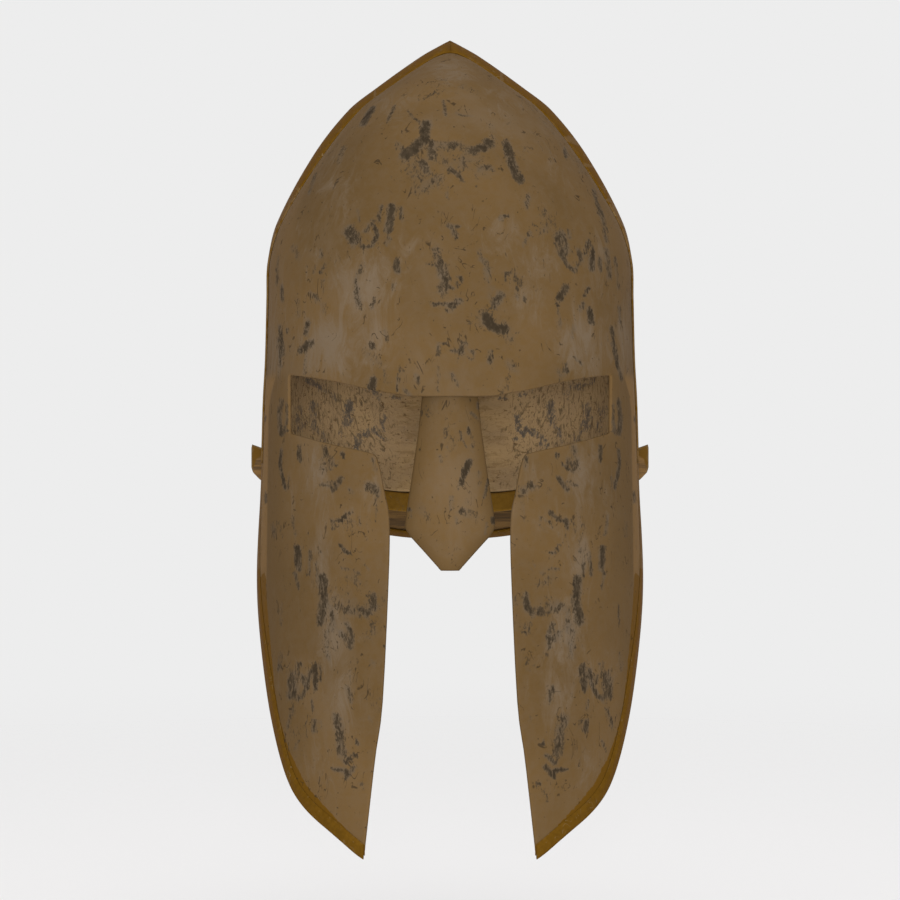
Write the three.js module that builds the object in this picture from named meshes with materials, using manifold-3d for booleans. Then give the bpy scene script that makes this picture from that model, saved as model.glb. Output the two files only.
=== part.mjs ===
/**
 * A Corinthian helmet of hammered bronze sheet, in millimetres.
 *
 * The origin is where the top of the wearer's head sits, inside the crown. +Z is up, the face
 * looks along -Y and +X is at the left hand of the wearer. The helmet is two shells that meet in the
 * upright plane y = 0, under a raised band that runs over the crown from ear to ear. Both shells,
 * the lining and every band that lies on them are offsets of one surface, the form of the bowl,
 * which is a stack of oval sections.
 */
import * as THREE from 'three';
import Module from 'manifold-3d';
import { mergeVertices } from 'three/addons/utils/BufferGeometryUtils.js';

const wasm = await Module();
wasm.setup();

// ---------------------------------------------------------------------------------------------
// Driving dimensions
// ---------------------------------------------------------------------------------------------

const SHEET = 1.8;              // thickness of the bronze shells
const GAP = 0.3;                // clearance between two pieces that touch
const OVAL_POWER = 2.25;        // 2 is an ellipse, more is squarer
const APEX_MITRE = 1.1;         // how much further an offset of the bowl reaches at its pointed apex
const WALL_TOP = -41;           // where the crown turns into the upright wall

/** The oval sections of the bowl's outer face, from the apex down to the tips of the cheek guards. */
const SECTIONS = [
  { height: 59.8, halfWidth: 0, frontDepth: 0, rearDepth: 0, ribRise: 4.9 },
  { height: 53.2, halfWidth: 11.4, frontDepth: 29, rearDepth: 32, ribRise: 5.0 },
  { height: 37.6, halfWidth: 33.0, frontDepth: 60, rearDepth: 67, ribRise: 5.2 },
  { height: 28.1, halfWidth: 44.9, frontDepth: 72, rearDepth: 80, ribRise: 5.2 },
  { height: 7.8, halfWidth: 61.0, frontDepth: 88, rearDepth: 98, ribRise: 5.0 },
  { height: -23.3, halfWidth: 80.0, frontDepth: 101, rearDepth: 113, ribRise: 3.0 },
  { height: -41, halfWidth: 85.6, frontDepth: 105, rearDepth: 117, ribRise: 1.4 },
  { height: -59, halfWidth: 86.3, frontDepth: 108, rearDepth: 118.5, ribRise: 1.0 },
  { height: -88, halfWidth: 87.1, frontDepth: 111, rearDepth: 118, ribRise: 0.9 },
  { height: -107, halfWidth: 88.1, frontDepth: 113, rearDepth: 115.5, ribRise: 0.9 },
  { height: -131, halfWidth: 88.8, frontDepth: 115, rearDepth: 108, ribRise: 0.9 },
  { height: -155, halfWidth: 89.5, frontDepth: 117, rearDepth: 101.5, ribRise: 0.9 },
  { height: -192, halfWidth: 90.7, frontDepth: 119, rearDepth: 98, ribRise: 0.9 },
  { height: -221, halfWidth: 90.6, frontDepth: 120, rearDepth: 98, ribRise: 0.9 },
  { height: -256, halfWidth: 90.0, frontDepth: 120.5, rearDepth: 98, ribRise: 0.9 },
  { height: -286, halfWidth: 89.2, frontDepth: 120, rearDepth: 98, ribRise: 0.9 },
  { height: -318, halfWidth: 88.5, frontDepth: 118.5, rearDepth: 98, ribRise: 0.9 },
];

/** Half of the opening for the eyes and the face, seen from the front, from the brow's middle. */
const BROW = { midHeight: -107.9, midHalf: 12 };
const BROW_EDGE = [
  { across: 18.8, height: -107.7 },
  { across: 35.8, height: -104.6 },
  { across: 52.7, height: -100.6 },
  { across: 72.7, height: -97.2 },
];
const SLOT_SILL = [
  { across: 72.3, height: -123.4 },
  { across: 52.7, height: -128.4 },
  { across: 38, height: -131.4 },
  { across: 32.3, height: -133 },
];
const CHEEK_FRONT_EDGE = [
  { across: 30.5, height: -138.8 },
  { across: 28.3, height: -150 },
  { across: 26.4, height: -160 },
  { across: 26.5, height: -182.7 },
  { across: 29.2, height: -239 },
  { across: 32.6, height: -264 },
  { across: 37.2, height: -303.5 },
];

/** The free rear edge of the cheek guards, seen from the side, from the ear to the tip. */
const CHEEK_REAR_EDGE = [
  { depth: -0.2, height: -136 },
  { depth: -5, height: -160 },
  { depth: -26, height: -191 },
  { depth: -49, height: -224 },
  { depth: -66, height: -251.5 },
  { depth: -83.5, height: -279 },
  { depth: -103, height: -296.5 },
  { depth: -111.5, height: -306.5 },
];
const TIP_HEIGHT = -307;

/** The lower edge of the rear shell falls from the ear to the nape. */
const REAR_EDGE = { earHeight: -135, napeHeight: -164, napeDepth: 99, bend: 1.5 };

/** The band's section: a low roof on its feet. It is built from inside the shells and cut by them. */
const BAND = {
  halfWidth: 9, footRise: 1.0, shoulder: 0.55, shoulderRise: 0.66, bottom: -137, sunk: 1, ease: 1.25,
};
const CHEEK_TRIM = { width: 8, rise: 0.9, top: -137.6 };
const NAPE_BAND = { width: 10.2, thickness: 1.5, startDepth: 3 };
const LINING = { gap: 0.6, thickness: 2.5, frontHeight: -84, browDepth: -74, earDepth: -16 };

/** The flared guard: its sections at the ear and at the nape, as curves of three points. */
const NECK_GUARD = {
  thickness: 2.0,
  endAngle: 85.5,
  bend: 2,
  ear: { topOut: 0.9, topHeight: -130.6, bendOut: 5.6, bendHeight: -125.5, rimOut: 3.8, rimHeight: -140.5 },
  nape: { topOut: 0.9, topHeight: -155, bendOut: 2.5, bendHeight: -170, rimOut: 21, rimHeight: -177 },
};
const GUARD_TRIM = { rise: 0.9, fromShare: 0.84, pastRim: 0.07, pastEnd: 0.9, gapShare: 0.02, gapAngle: 0.25 };

/** The nose guard, from behind the brow to its tip: the middle line and the half width. */
const NASAL = { thickness: 2.4 };
const NASAL_SECTIONS = [
  { height: -96, halfWidth: 11.6, depth: -109.3, crown: 5.0 },
  { height: -108, halfWidth: 12.2, depth: -110.2, crown: 5.4 },
  { height: -122, halfWidth: 13.6, depth: -114.5, crown: 6.0 },
  { height: -142, halfWidth: 16.4, depth: -118, crown: 7.0 },
  { height: -160, halfWidth: 19.2, depth: -120, crown: 8.0 },
  { height: -164.5, halfWidth: 19.6, depth: -120.2, crown: 8.0 },
  { height: -168, halfWidth: 17.4, depth: -120.2, crown: 6.6 },
  { height: -175, halfWidth: 10.9, depth: -119.6, crown: 3.2 },
  { height: -182.8, halfWidth: 3.9, depth: -118.6, crown: 0.7 },
];

/** How finely the curved faces are divided. */
const FACETS = {
  around: 52, crownRows: 10, wallRows: 10, band: 20, guardAround: 24, guardDown: 4, nasalAcross: 8,
};
const LINING_FACETS = { around: 36, crownRows: 10, wallRows: 10 };

const REACH = 200;              // a cutter's half size, past the helmet's sides and top
const BELOW = -400;             // a cutter's bottom, past the cheek guards' tips
const CUTTER_CURVE_STEPS = 5;   // segments to each curve of a cutter's outline

// ---------------------------------------------------------------------------------------------
// The form of the bowl
// ---------------------------------------------------------------------------------------------

/** How far down the bowl each section is, measured along its side, from 0 to 1. */
function sectionKnots() {
  const knots = [0];
  for (let i = 1; i < SECTIONS.length; i += 1) {
    const across = SECTIONS[i].halfWidth - SECTIONS[i - 1].halfWidth;
    const down = SECTIONS[i].height - SECTIONS[i - 1].height;
    knots.push(knots[i - 1] + Math.hypot(across, down));
  }
  return knots.map((knot) => knot / knots[knots.length - 1]);
}

const KNOTS = sectionKnots();

/** The slope of one column at section i, between its neighbours. */
function columnSlope(column, i) {
  const before = Math.max(i - 1, 0);
  const after = Math.min(i + 1, SECTIONS.length - 1);
  return (SECTIONS[after][column] - SECTIONS[before][column]) / (KNOTS[after] - KNOTS[before]);
}

/** One column of the table at any place down the bowl, on a smooth curve through its rows. */
function columnAt(column, down) {
  let i = 0;
  while (i < KNOTS.length - 2 && down > KNOTS[i + 1]) i += 1;
  const span = KNOTS[i + 1] - KNOTS[i];
  const s = (down - KNOTS[i]) / span;
  const first = SECTIONS[i][column];
  const last = SECTIONS[i + 1][column];
  const rise = last - first;
  const startSlope = columnSlope(column, i) * span;
  const endSlope = columnSlope(column, i + 1) * span;
  return first + startSlope * s + (3 * rise - 2 * startSlope - endSlope) * s * s
    + (startSlope + endSlope - 2 * rise) * s * s * s;
}

/** The place down the bowl where its section has this height. */
function downAt(height) {
  let top = 0;
  let bottom = 1;
  for (let i = 0; i < 40; i += 1) {
    const middle = (top + bottom) / 2;
    if (columnAt('height', middle) > height) top = middle;
    else bottom = middle;
  }
  return (top + bottom) / 2;
}

/** A signed power, which turns a circle into a squarer oval. */
function squared(value) {
  return Math.sign(value) * Math.abs(value) ** (2 / OVAL_POWER);
}

/** A point of the bowl's outer face. Angle 0 is the front, 90 the side with +X, 180 the back. */
function bowlPoint(angle, down) {
  const radians = THREE.MathUtils.degToRad(angle);
  const forward = squared(Math.cos(radians));
  const depth = forward > 0 ? columnAt('frontDepth', down) : columnAt('rearDepth', down);
  return new THREE.Vector3(
    columnAt('halfWidth', down) * squared(Math.sin(radians)),
    -depth * forward,
    columnAt('height', down),
  );
}

/** The outward direction of the bowl's outer face. */
function bowlNormal(angle, down) {
  const step = 0.004;
  if (down < step) return new THREE.Vector3(0, 0, 1);
  const around = bowlPoint(angle + 1, down).sub(bowlPoint(angle - 1, down));
  const along = bowlPoint(angle, Math.min(down + step, 1)).sub(bowlPoint(angle, down - step));
  return along.cross(around).normalize();
}

/** A point at a distance outside the bowl's outer face, or inside it if the distance is negative. */
function bowlOffset(angle, down, distance) {
  return bowlPoint(angle, down).addScaledVector(bowlNormal(angle, down), distance);
}

// ---------------------------------------------------------------------------------------------
// Closed solids
// ---------------------------------------------------------------------------------------------

/** A manifold solid from points and from faces of three point numbers each. */
function solidFrom(points, faces) {
  const vertProperties = new Float32Array(points.flatMap((point) => point.toArray()));
  const triVerts = new Uint32Array(faces.flat());
  return new wasm.Manifold(new wasm.Mesh({ numProp: 3, vertProperties, triVerts }));
}

/** The two triangles of a four-sided face. */
function quad(a, b, c, d) {
  return [[a, b, c], [a, c, d]];
}

/** Places down the bowl: close together over the crown and wider apart below. */
function bowlRows({ crownRows, wallRows }) {
  const wallStart = downAt(WALL_TOP);
  const crown = Array.from({ length: crownRows }, (_, i) => (wallStart * (i + 1)) / crownRows);
  const wall = Array.from({ length: wallRows }, (_, i) => wallStart + ((1 - wallStart) * (i + 1)) / wallRows);
  return [...crown, ...wall];
}

/** The whole bowl as a wall between two offsets from its outer face, open at the bottom. */
function bowlWall(outside, inside, facets = FACETS) {
  const points = [];
  const faces = [];
  const rows = bowlRows(facets);
  const count = facets.around;
  const size = 1 + rows.length * count;
  const number = (layer, row, i) => layer * size + 1 + row * count + (i % count);
  const pole = (layer) => layer * size;
  [outside, inside].forEach((distance) => {
    points.push(bowlOffset(0, 0, distance * APEX_MITRE));
    rows.forEach((down) => {
      for (let i = 0; i < count; i += 1) points.push(bowlOffset((360 * i) / count, down, distance));
    });
  });
  for (let i = 0; i < count; i += 1) {
    faces.push([pole(0), number(0, 0, i), number(0, 0, i + 1)]);
    faces.push([pole(1), number(1, 0, i + 1), number(1, 0, i)]);
    for (let row = 1; row < rows.length; row += 1) {
      const corners = (layer) => [
        number(layer, row - 1, i), number(layer, row, i), number(layer, row, i + 1), number(layer, row - 1, i + 1),
      ];
      faces.push(...quad(...corners(0)), ...quad(...corners(1).reverse()));
    }
    const last = rows.length - 1;
    faces.push(...quad(number(0, last, i), number(1, last, i), number(1, last, i + 1), number(0, last, i + 1)));
  }
  return solidFrom(points, faces);
}

/** A sheet with edges, between a front and a back face that are both functions of (u, v) from 0 to 1. */
function sheetSolid(frontPoint, backPoint, across, down) {
  const points = [];
  const faces = [];
  const size = (across + 1) * (down + 1);
  const number = (layer, i, j) => layer * size + j * (across + 1) + i;
  [frontPoint, backPoint].forEach((place) => {
    for (let j = 0; j <= down; j += 1) {
      for (let i = 0; i <= across; i += 1) points.push(place(i / across, j / down));
    }
  });
  for (let j = 0; j < down; j += 1) {
    for (let i = 0; i < across; i += 1) {
      faces.push(...quad(number(0, i, j), number(0, i, j + 1), number(0, i + 1, j + 1), number(0, i + 1, j)));
      faces.push(...quad(number(1, i, j), number(1, i + 1, j), number(1, i + 1, j + 1), number(1, i, j + 1)));
    }
    faces.push(...quad(number(0, 0, j), number(1, 0, j), number(1, 0, j + 1), number(0, 0, j + 1)));
    faces.push(...quad(
      number(0, across, j), number(0, across, j + 1), number(1, across, j + 1), number(1, across, j),
    ));
  }
  for (let i = 0; i < across; i += 1) {
    faces.push(...quad(number(0, i, 0), number(0, i + 1, 0), number(1, i + 1, 0), number(1, i, 0)));
    faces.push(...quad(
      number(0, i, down), number(1, i, down), number(1, i + 1, down), number(0, i + 1, down),
    ));
  }
  return solidFrom(points, faces);
}

/** A cutter: a flat outline pushed through everything, with its plane's two axes and its direction. */
function cutter(shape, axes) {
  const geometry = new THREE.ExtrudeGeometry(
    shape,
    { depth: 2 * REACH, bevelEnabled: false, curveSegments: CUTTER_CURVE_STEPS },
  );
  geometry.translate(0, 0, -REACH);
  geometry.applyMatrix4(new THREE.Matrix4().makeBasis(...axes));
  geometry.deleteAttribute('normal');
  geometry.deleteAttribute('uv');
  const merged = mergeVertices(geometry);
  const mesh = { numProp: 3, vertProperties: merged.attributes.position.array, triVerts: merged.index.array };
  return new wasm.Manifold(new wasm.Mesh(mesh));
}

const X = new THREE.Vector3(1, 0, 0);
const Y = new THREE.Vector3(0, 1, 0);
const Z = new THREE.Vector3(0, 0, 1);

/** A cutter whose outline is drawn as seen from the side, in (depth, height). */
function sideCutter(shape) {
  return cutter(shape, [Y, Z, X]);
}

/** A cutter whose outline is drawn as seen from the front, in (across, height). */
function frontCutter(shape) {
  return cutter(shape, [X, Z, Y.clone().negate()]);
}

/** An outline through straight corners. */
function polygon(corners) {
  return new THREE.Shape(corners.map(([a, b]) => new THREE.Vector2(a, b)));
}

/** Everything in front of an upright plane at this depth. */
function inFrontOf(depth) {
  return sideCutter(polygon([[-REACH, BELOW], [depth, BELOW], [depth, REACH], [-REACH, REACH]]));
}

// ---------------------------------------------------------------------------------------------
// Outlines
// ---------------------------------------------------------------------------------------------

/** A smooth run of points through table rows. */
function smoothRun(rows, column, divisions) {
  const curve = new THREE.SplineCurve(rows.map((row) => new THREE.Vector2(row[column], row.height)));
  return curve.getPoints(divisions);
}

/** The opening for the eyes and the face: a T that is open at the bottom. */
function faceOpening() {
  const half = [
    new THREE.Vector2(BROW.midHalf, BROW.midHeight),
    ...smoothRun(BROW_EDGE, 'across', 9),
    ...smoothRun(SLOT_SILL, 'across', 7),
    ...smoothRun(CHEEK_FRONT_EDGE, 'across', 14),
    new THREE.Vector2(CHEEK_FRONT_EDGE[CHEEK_FRONT_EDGE.length - 1].across, BELOW),
  ];
  const mirrored = half.map((point) => new THREE.Vector2(-point.x, point.y)).reverse();
  return frontCutter(new THREE.Shape([...half, ...mirrored])).intersect(inFrontOf(0));
}

/** The rear edge of the cheek guard, moved backward by an amount, square to itself. */
function cheekRearRun(backward) {
  const run = smoothRun(CHEEK_REAR_EDGE, 'depth', 21);
  return run.map((point, i) => {
    const before = run[Math.max(i - 1, 0)];
    const after = run[Math.min(i + 1, run.length - 1)];
    const along = after.clone().sub(before).normalize();
    return new THREE.Vector2(point.x - along.y * backward, point.y + along.x * backward);
  });
}

/** What the front shell keeps of the bowl, seen from the side, grown backward by an amount. */
function frontRegion(backward) {
  const run = cheekRearRun(backward);
  const tip = TIP_HEIGHT - Math.max(backward, 0);
  return sideCutter(new THREE.Shape([
    new THREE.Vector2(run[0].x, REACH),
    ...run,
    new THREE.Vector2(run[run.length - 1].x - 1, tip),
    new THREE.Vector2(-REACH, tip),
    new THREE.Vector2(-REACH, REACH),
  ]));
}

/** The height of the rear shell's lower edge at this depth behind the ears. */
function rearEdgeHeight(depth) {
  const share = Math.min(Math.max(depth / REAR_EDGE.napeDepth, 0), 1) ** REAR_EDGE.bend;
  return REAR_EDGE.earHeight + (REAR_EDGE.napeHeight - REAR_EDGE.earHeight) * share;
}

/** Points along the rear shell's lower edge, raised by an amount, from one depth to the back. */
function rearEdgeRun(startDepth, raise) {
  const steps = 10;
  const end = REAR_EDGE.napeDepth;
  return Array.from({ length: steps + 1 }, (_, i) => {
    const depth = startDepth + ((end - startDepth) * i) / steps;
    return new THREE.Vector2(depth, rearEdgeHeight(depth) + raise);
  });
}

// ---------------------------------------------------------------------------------------------
// The pieces
// ---------------------------------------------------------------------------------------------

/** The forehead, temples and cheek guards. */
function frontShell() {
  return bowlWall(0, -SHEET).intersect(frontRegion(0)).subtract(faceOpening());
}

/** The back of the skull. */
function rearShell() {
  const run = rearEdgeRun(0.2, 0);
  const region = sideCutter(new THREE.Shape([
    new THREE.Vector2(0.2, REACH),
    ...run,
    new THREE.Vector2(REACH, REAR_EDGE.napeHeight),
    new THREE.Vector2(REACH, REACH),
  ].reverse()));
  return bowlWall(0, -SHEET).intersect(region);
}

/** Where the upright plane at this depth cuts the bowl, at a share of the way down to the ear. */
function bandBase(depth, share) {
  const column = depth > 0 ? 'rearDepth' : 'frontDepth';
  const limit = downAt(BAND.bottom);
  let top = 0;
  let bottom = limit;
  for (let i = 0; i < 40; i += 1) {
    const middle = (top + bottom) / 2;
    if (columnAt(column, middle) < Math.abs(depth)) top = middle;
    else bottom = middle;
  }
  const start = depth === 0 ? 0 : (top + bottom) / 2;
  const down = start + (limit - start) * share;
  const reach = Math.min(Math.abs(depth) / Math.max(columnAt(column, down), 1e-6), 1);
  const across = columnAt('halfWidth', down) * (1 - reach ** OVAL_POWER) ** (1 / OVAL_POWER);
  return { across, height: columnAt('height', down), rise: columnAt('ribRise', down) };
}

/** A point on the band, at -1 to 1 from one ear over the crown to the other, raised off the bowl. */
function bandPoint(side, depth, lift) {
  const step = 0.002;
  const share = Math.abs(side);
  const here = bandBase(depth, share);
  const above = bandBase(depth, Math.max(share - step, 0));
  const below = bandBase(depth, Math.min(share + step, 1));
  const along = new THREE.Vector2(below.across - above.across, below.height - above.height).normalize();
  const rise = lift(here.rise);
  const sign = Math.sign(side);
  if (share < step) return new THREE.Vector3(0, depth, here.height + rise / Math.max(along.x, 0.5));
  return new THREE.Vector3(sign * (here.across - along.y * rise), depth, here.height + along.x * rise);
}

/** The raised band over the crown, which covers the joint between the shells. */
function crownBand() {
  const edge = BAND.halfWidth;
  const shoulder = edge * BAND.shoulder;
  const foot = (rise) => Math.min(BAND.footRise, rise) + GAP;
  const knee = (rise) => Math.max(rise * BAND.shoulderRise, Math.min(BAND.footRise, rise)) + GAP;
  const crest = (rise) => rise + GAP;
  const sunk = () => -BAND.sunk;
  const ring = [
    { depth: -edge, lift: sunk },
    { depth: -edge, lift: foot },
    { depth: -shoulder, lift: knee },
    { depth: 0, lift: crest },
    { depth: shoulder, lift: knee },
    { depth: edge, lift: foot },
    { depth: edge, lift: sunk },
    { depth: 0, lift: sunk },
  ];
  const points = [];
  const faces = [];
  const steps = FACETS.band * 2;
  for (let i = 0; i <= steps; i += 1) {
    const side = (i - FACETS.band) / FACETS.band;
    const eased = Math.sign(side) * Math.abs(side) ** BAND.ease;
    ring.forEach(({ depth, lift }) => points.push(bandPoint(eased, depth, lift)));
  }
  const count = ring.length;
  for (let i = 0; i < steps; i += 1) {
    for (let j = 0; j < count; j += 1) {
      const next = (j + 1) % count;
      faces.push(...quad(i * count + j, (i + 1) * count + j, (i + 1) * count + next, i * count + next));
    }
  }
  for (let j = 1; j < count - 1; j += 1) {
    faces.push([0, j, j + 1]);
    faces.push([steps * count, steps * count + j + 1, steps * count + j]);
  }
  return solidFrom(points, faces).subtract(bowlWall(GAP, -SHEET - BAND.sunk));
}

/** The folded edging of one cheek guard. Side is 1 for +X and -1 for -X. */
function cheekTrim(side) {
  const strip = frontRegion(CHEEK_TRIM.rise + GAP).subtract(frontRegion(-CHEEK_TRIM.width));
  const belowBand = sideCutter(polygon(
    [[-REACH, BELOW], [REACH, BELOW], [REACH, CHEEK_TRIM.top], [-REACH, CHEEK_TRIM.top]],
  ));
  const half = frontCutter(polygon(
    side > 0
      ? [[0, BELOW], [REACH, BELOW], [REACH, REACH], [0, REACH]]
      : [[-REACH, BELOW], [0, BELOW], [0, REACH], [-REACH, REACH]],
  ));
  return bowlWall(CHEEK_TRIM.rise + GAP, -SHEET - CHEEK_TRIM.rise - GAP)
    .intersect(strip)
    .intersect(belowBand)
    .intersect(half)
    .subtract(bowlWall(GAP, -SHEET - GAP).intersect(frontRegion(GAP)))
    .subtract(faceOpening());
}

/** The band inside the rear shell's lower edge. */
function napeBand() {
  const lower = rearEdgeRun(NAPE_BAND.startDepth, 0);
  const upper = rearEdgeRun(NAPE_BAND.startDepth, NAPE_BAND.width).reverse();
  const end = [
    new THREE.Vector2(REACH, REAR_EDGE.napeHeight),
    new THREE.Vector2(REACH, REAR_EDGE.napeHeight + NAPE_BAND.width),
  ];
  const region = sideCutter(new THREE.Shape([...lower, ...end, ...upper]));
  return bowlWall(-SHEET - GAP, -SHEET - GAP - NAPE_BAND.thickness).intersect(region);
}

/** The lining of the crown, temples and back of the head. */
function lining() {
  const raise = NAPE_BAND.width + GAP;
  const run = rearEdgeRun(NAPE_BAND.startDepth, raise);
  const region = sideCutter(new THREE.Shape([
    new THREE.Vector2(-REACH, REACH),
    new THREE.Vector2(-REACH, LINING.frontHeight),
    new THREE.Vector2(LINING.browDepth, LINING.frontHeight),
    new THREE.Vector2(LINING.earDepth, rearEdgeHeight(0) + raise),
    ...run,
    new THREE.Vector2(REACH, REAR_EDGE.napeHeight + raise),
    new THREE.Vector2(REACH, REACH),
  ]));
  const outside = -SHEET - LINING.gap;
  return bowlWall(outside, outside - LINING.thickness, LINING_FACETS).intersect(region);
}

/** A value of the neck guard's section, between those at the ear and at the nape. */
function guardValue(column, angle) {
  const nape = Math.max(Math.cos(THREE.MathUtils.degToRad(angle)), 0) ** NECK_GUARD.bend;
  return NECK_GUARD.ear[column] + (NECK_GUARD.nape[column] - NECK_GUARD.ear[column]) * nape;
}

/** A point of the guard's inner face. Angle 0 is the nape; share runs 0 to 1, lap to rim. */
function guardPoint(angle, share) {
  const blend = (top, bend, rim) => top * (1 - share) ** 2 + 2 * bend * share * (1 - share) + rim * share ** 2;
  const out = blend(guardValue('topOut', angle), guardValue('bendOut', angle), guardValue('rimOut', angle));
  const height = blend(
    guardValue('topHeight', angle), guardValue('bendHeight', angle), guardValue('rimHeight', angle),
  );
  const bowlAngle = 180 - angle;
  const down = downAt(height);
  const outward = bowlNormal(bowlAngle, down).setZ(0).normalize();
  const point = bowlPoint(bowlAngle, down).addScaledVector(outward, out);
  return point.setZ(height);
}

/** The outward direction of the guard's inner face. */
function guardNormal(angle, share) {
  const around = guardPoint(angle + 1, share).sub(guardPoint(angle - 1, share));
  const along = guardPoint(angle, share + 0.02).sub(guardPoint(angle, share - 0.02));
  return around.cross(along).normalize();
}

/** A stretch of the guard between two distances from its inner face. */
function guardSheet({ fromAngle, toAngle, fromShare, toShare, inside, outside, around, down }) {
  const place = (distance) => (u, v) => {
    const angle = fromAngle + (toAngle - fromAngle) * u;
    const share = fromShare + (toShare - fromShare) * v;
    return guardPoint(angle, share).addScaledVector(guardNormal(angle, share), distance);
  };
  return sheetSolid(place(inside), place(outside), around, down);
}

/** The flared guard round the nape. */
function neckGuard() {
  return guardSheet({
    fromAngle: -NECK_GUARD.endAngle,
    toAngle: NECK_GUARD.endAngle,
    fromShare: 0,
    toShare: 1,
    inside: 0,
    outside: NECK_GUARD.thickness,
    around: FACETS.guardAround,
    down: FACETS.guardDown,
  }).subtract(bowlWall(GAP, -SHEET));
}

/** The edging along the guard's rim and its two front ends. */
function neckGuardTrim() {
  const { endAngle, thickness } = NECK_GUARD;
  const rim = guardSheet({
    fromAngle: -endAngle - GUARD_TRIM.pastEnd,
    toAngle: endAngle + GUARD_TRIM.pastEnd,
    fromShare: GUARD_TRIM.fromShare,
    toShare: 1 + GUARD_TRIM.pastRim,
    inside: -GUARD_TRIM.rise - GAP,
    outside: thickness + GUARD_TRIM.rise + GAP,
    around: FACETS.guardAround,
    down: 1,
  });
  const core = guardSheet({
    fromAngle: -endAngle - GUARD_TRIM.gapAngle,
    toAngle: endAngle + GUARD_TRIM.gapAngle,
    fromShare: 0,
    toShare: 1 + GUARD_TRIM.gapShare,
    inside: -GAP,
    outside: thickness + GAP,
    around: FACETS.guardAround,
    down: FACETS.guardDown,
  });
  return rim.subtract(core);
}

/** The row of the nose guard's table at a share of its length, on a curve through the rows. */
function nasalRow(share) {
  const place = share * (NASAL_SECTIONS.length - 1);
  const i = Math.min(Math.floor(place), NASAL_SECTIONS.length - 2);
  const s = place - i;
  const mix = (column) => NASAL_SECTIONS[i][column] * (1 - s) + NASAL_SECTIONS[i + 1][column] * s;
  return { height: mix('height'), halfWidth: mix('halfWidth'), depth: mix('depth'), crown: mix('crown') };
}

/** The convex nose guard. */
function nasal() {
  const place = (back) => (u, v) => {
    const row = nasalRow(v);
    const side = 1 - 2 * u;
    const fall = row.crown * side * side;
    return new THREE.Vector3(-side * row.halfWidth, row.depth + fall + back, row.height);
  };
  return sheetSolid(place(0), place(NASAL.thickness), FACETS.nasalAcross, NASAL_SECTIONS.length - 1);
}

// ---------------------------------------------------------------------------------------------
// The helmet
// ---------------------------------------------------------------------------------------------

const group = new THREE.Group();

const FINISH = {
  bronze: { color: 0x745c3d, roughness: 0.55, metalness: 0.6 },
  ochre: { color: 0x6a4a1c, roughness: 0.5, metalness: 0.6 },
  leather: { color: 0x6d573c, roughness: 0.9, metalness: 0 },
};

/** Adds one piece to the helmet as a named mesh. */
function addPiece(name, solid, finish) {
  const { vertProperties, triVerts } = solid.getMesh();
  const geometry = new THREE.BufferGeometry();
  geometry.setAttribute('position', new THREE.BufferAttribute(vertProperties, 3));
  geometry.setIndex(new THREE.BufferAttribute(triVerts, 1));
  geometry.computeVertexNormals();
  const mesh = new THREE.Mesh(geometry, new THREE.MeshStandardMaterial(FINISH[finish]));
  mesh.name = name;
  group.add(mesh);
}

addPiece('front_shell', frontShell(), 'bronze');
addPiece('rear_shell', rearShell(), 'bronze');
addPiece('crown_band', crownBand(), 'ochre');
addPiece('nasal', nasal(), 'bronze');
addPiece('cheek_trim_left', cheekTrim(-1), 'ochre');
addPiece('cheek_trim_right', cheekTrim(1), 'ochre');
addPiece('neck_guard', neckGuard(), 'bronze');
addPiece('neck_guard_trim', neckGuardTrim(), 'ochre');
addPiece('nape_band', napeBand(), 'ochre');
addPiece('lining', lining(), 'leather');

export default group;
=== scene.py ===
"""Dresses a Corinthian helmet of hammered bronze: two shells under a raised band, a nose guard,
folded edging on the cheek guards, a flared neck guard and a rough hide lining.

Shapes are worked out in millimetres from the sections of the bowl and handed over in metres.
"""
from __future__ import annotations

import logging
import math
from dataclasses import dataclass
from enum import Enum
from functools import partial
from typing import Callable, Sequence

import bmesh
import bpy
import numpy as np
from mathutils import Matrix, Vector


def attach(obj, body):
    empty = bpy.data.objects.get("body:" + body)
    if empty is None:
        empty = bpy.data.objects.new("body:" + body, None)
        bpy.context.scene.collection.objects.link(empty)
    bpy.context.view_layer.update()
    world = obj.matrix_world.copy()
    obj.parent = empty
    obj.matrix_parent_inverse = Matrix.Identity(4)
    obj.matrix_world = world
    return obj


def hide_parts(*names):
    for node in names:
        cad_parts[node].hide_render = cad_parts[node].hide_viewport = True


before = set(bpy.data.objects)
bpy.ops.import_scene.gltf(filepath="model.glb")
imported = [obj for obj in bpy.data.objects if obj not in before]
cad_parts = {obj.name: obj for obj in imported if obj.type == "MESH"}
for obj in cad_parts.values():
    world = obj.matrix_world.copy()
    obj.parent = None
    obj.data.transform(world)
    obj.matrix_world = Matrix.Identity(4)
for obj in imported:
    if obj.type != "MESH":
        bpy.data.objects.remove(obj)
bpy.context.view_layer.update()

MM = 0.001
BODY = "root"
SAME_PLACE = 2e-6
LOG = logging.getLogger("helmet")

Array = np.ndarray
Pair = tuple[float, float]
Colour = tuple[float, float, float]
Faces = list[list[int]]
Edges = dict[tuple[int, int], int]
Masks = dict[str, Array]
Field = Callable[[Array, Array], Array]
Piece = bpy.types.Object
Material = bpy.types.Material


class Slot(Enum):
    """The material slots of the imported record."""

    BRONZE = "bronze"
    OCHRE = "ochre_edging"
    LINING = "lining"


def srgb(red: int, green: int, blue: int) -> Colour:
    """Turns a screen colour of 0 to 255 into a linear one."""
    shares = (red / 255, green / 255, blue / 255)
    return tuple(v / 12.92 if v <= 0.04045 else ((v + 0.055) / 1.055) ** 2.4 for v in shares)


def smoothstep(low: float, high: float, value: Array) -> Array:
    """Rises smoothly from 0 at low to 1 at high."""
    share = np.clip((value - low) / (high - low), 0.0, 1.0)
    return share * share * (3 - 2 * share)


# ---- The form of the bowl ----


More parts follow.
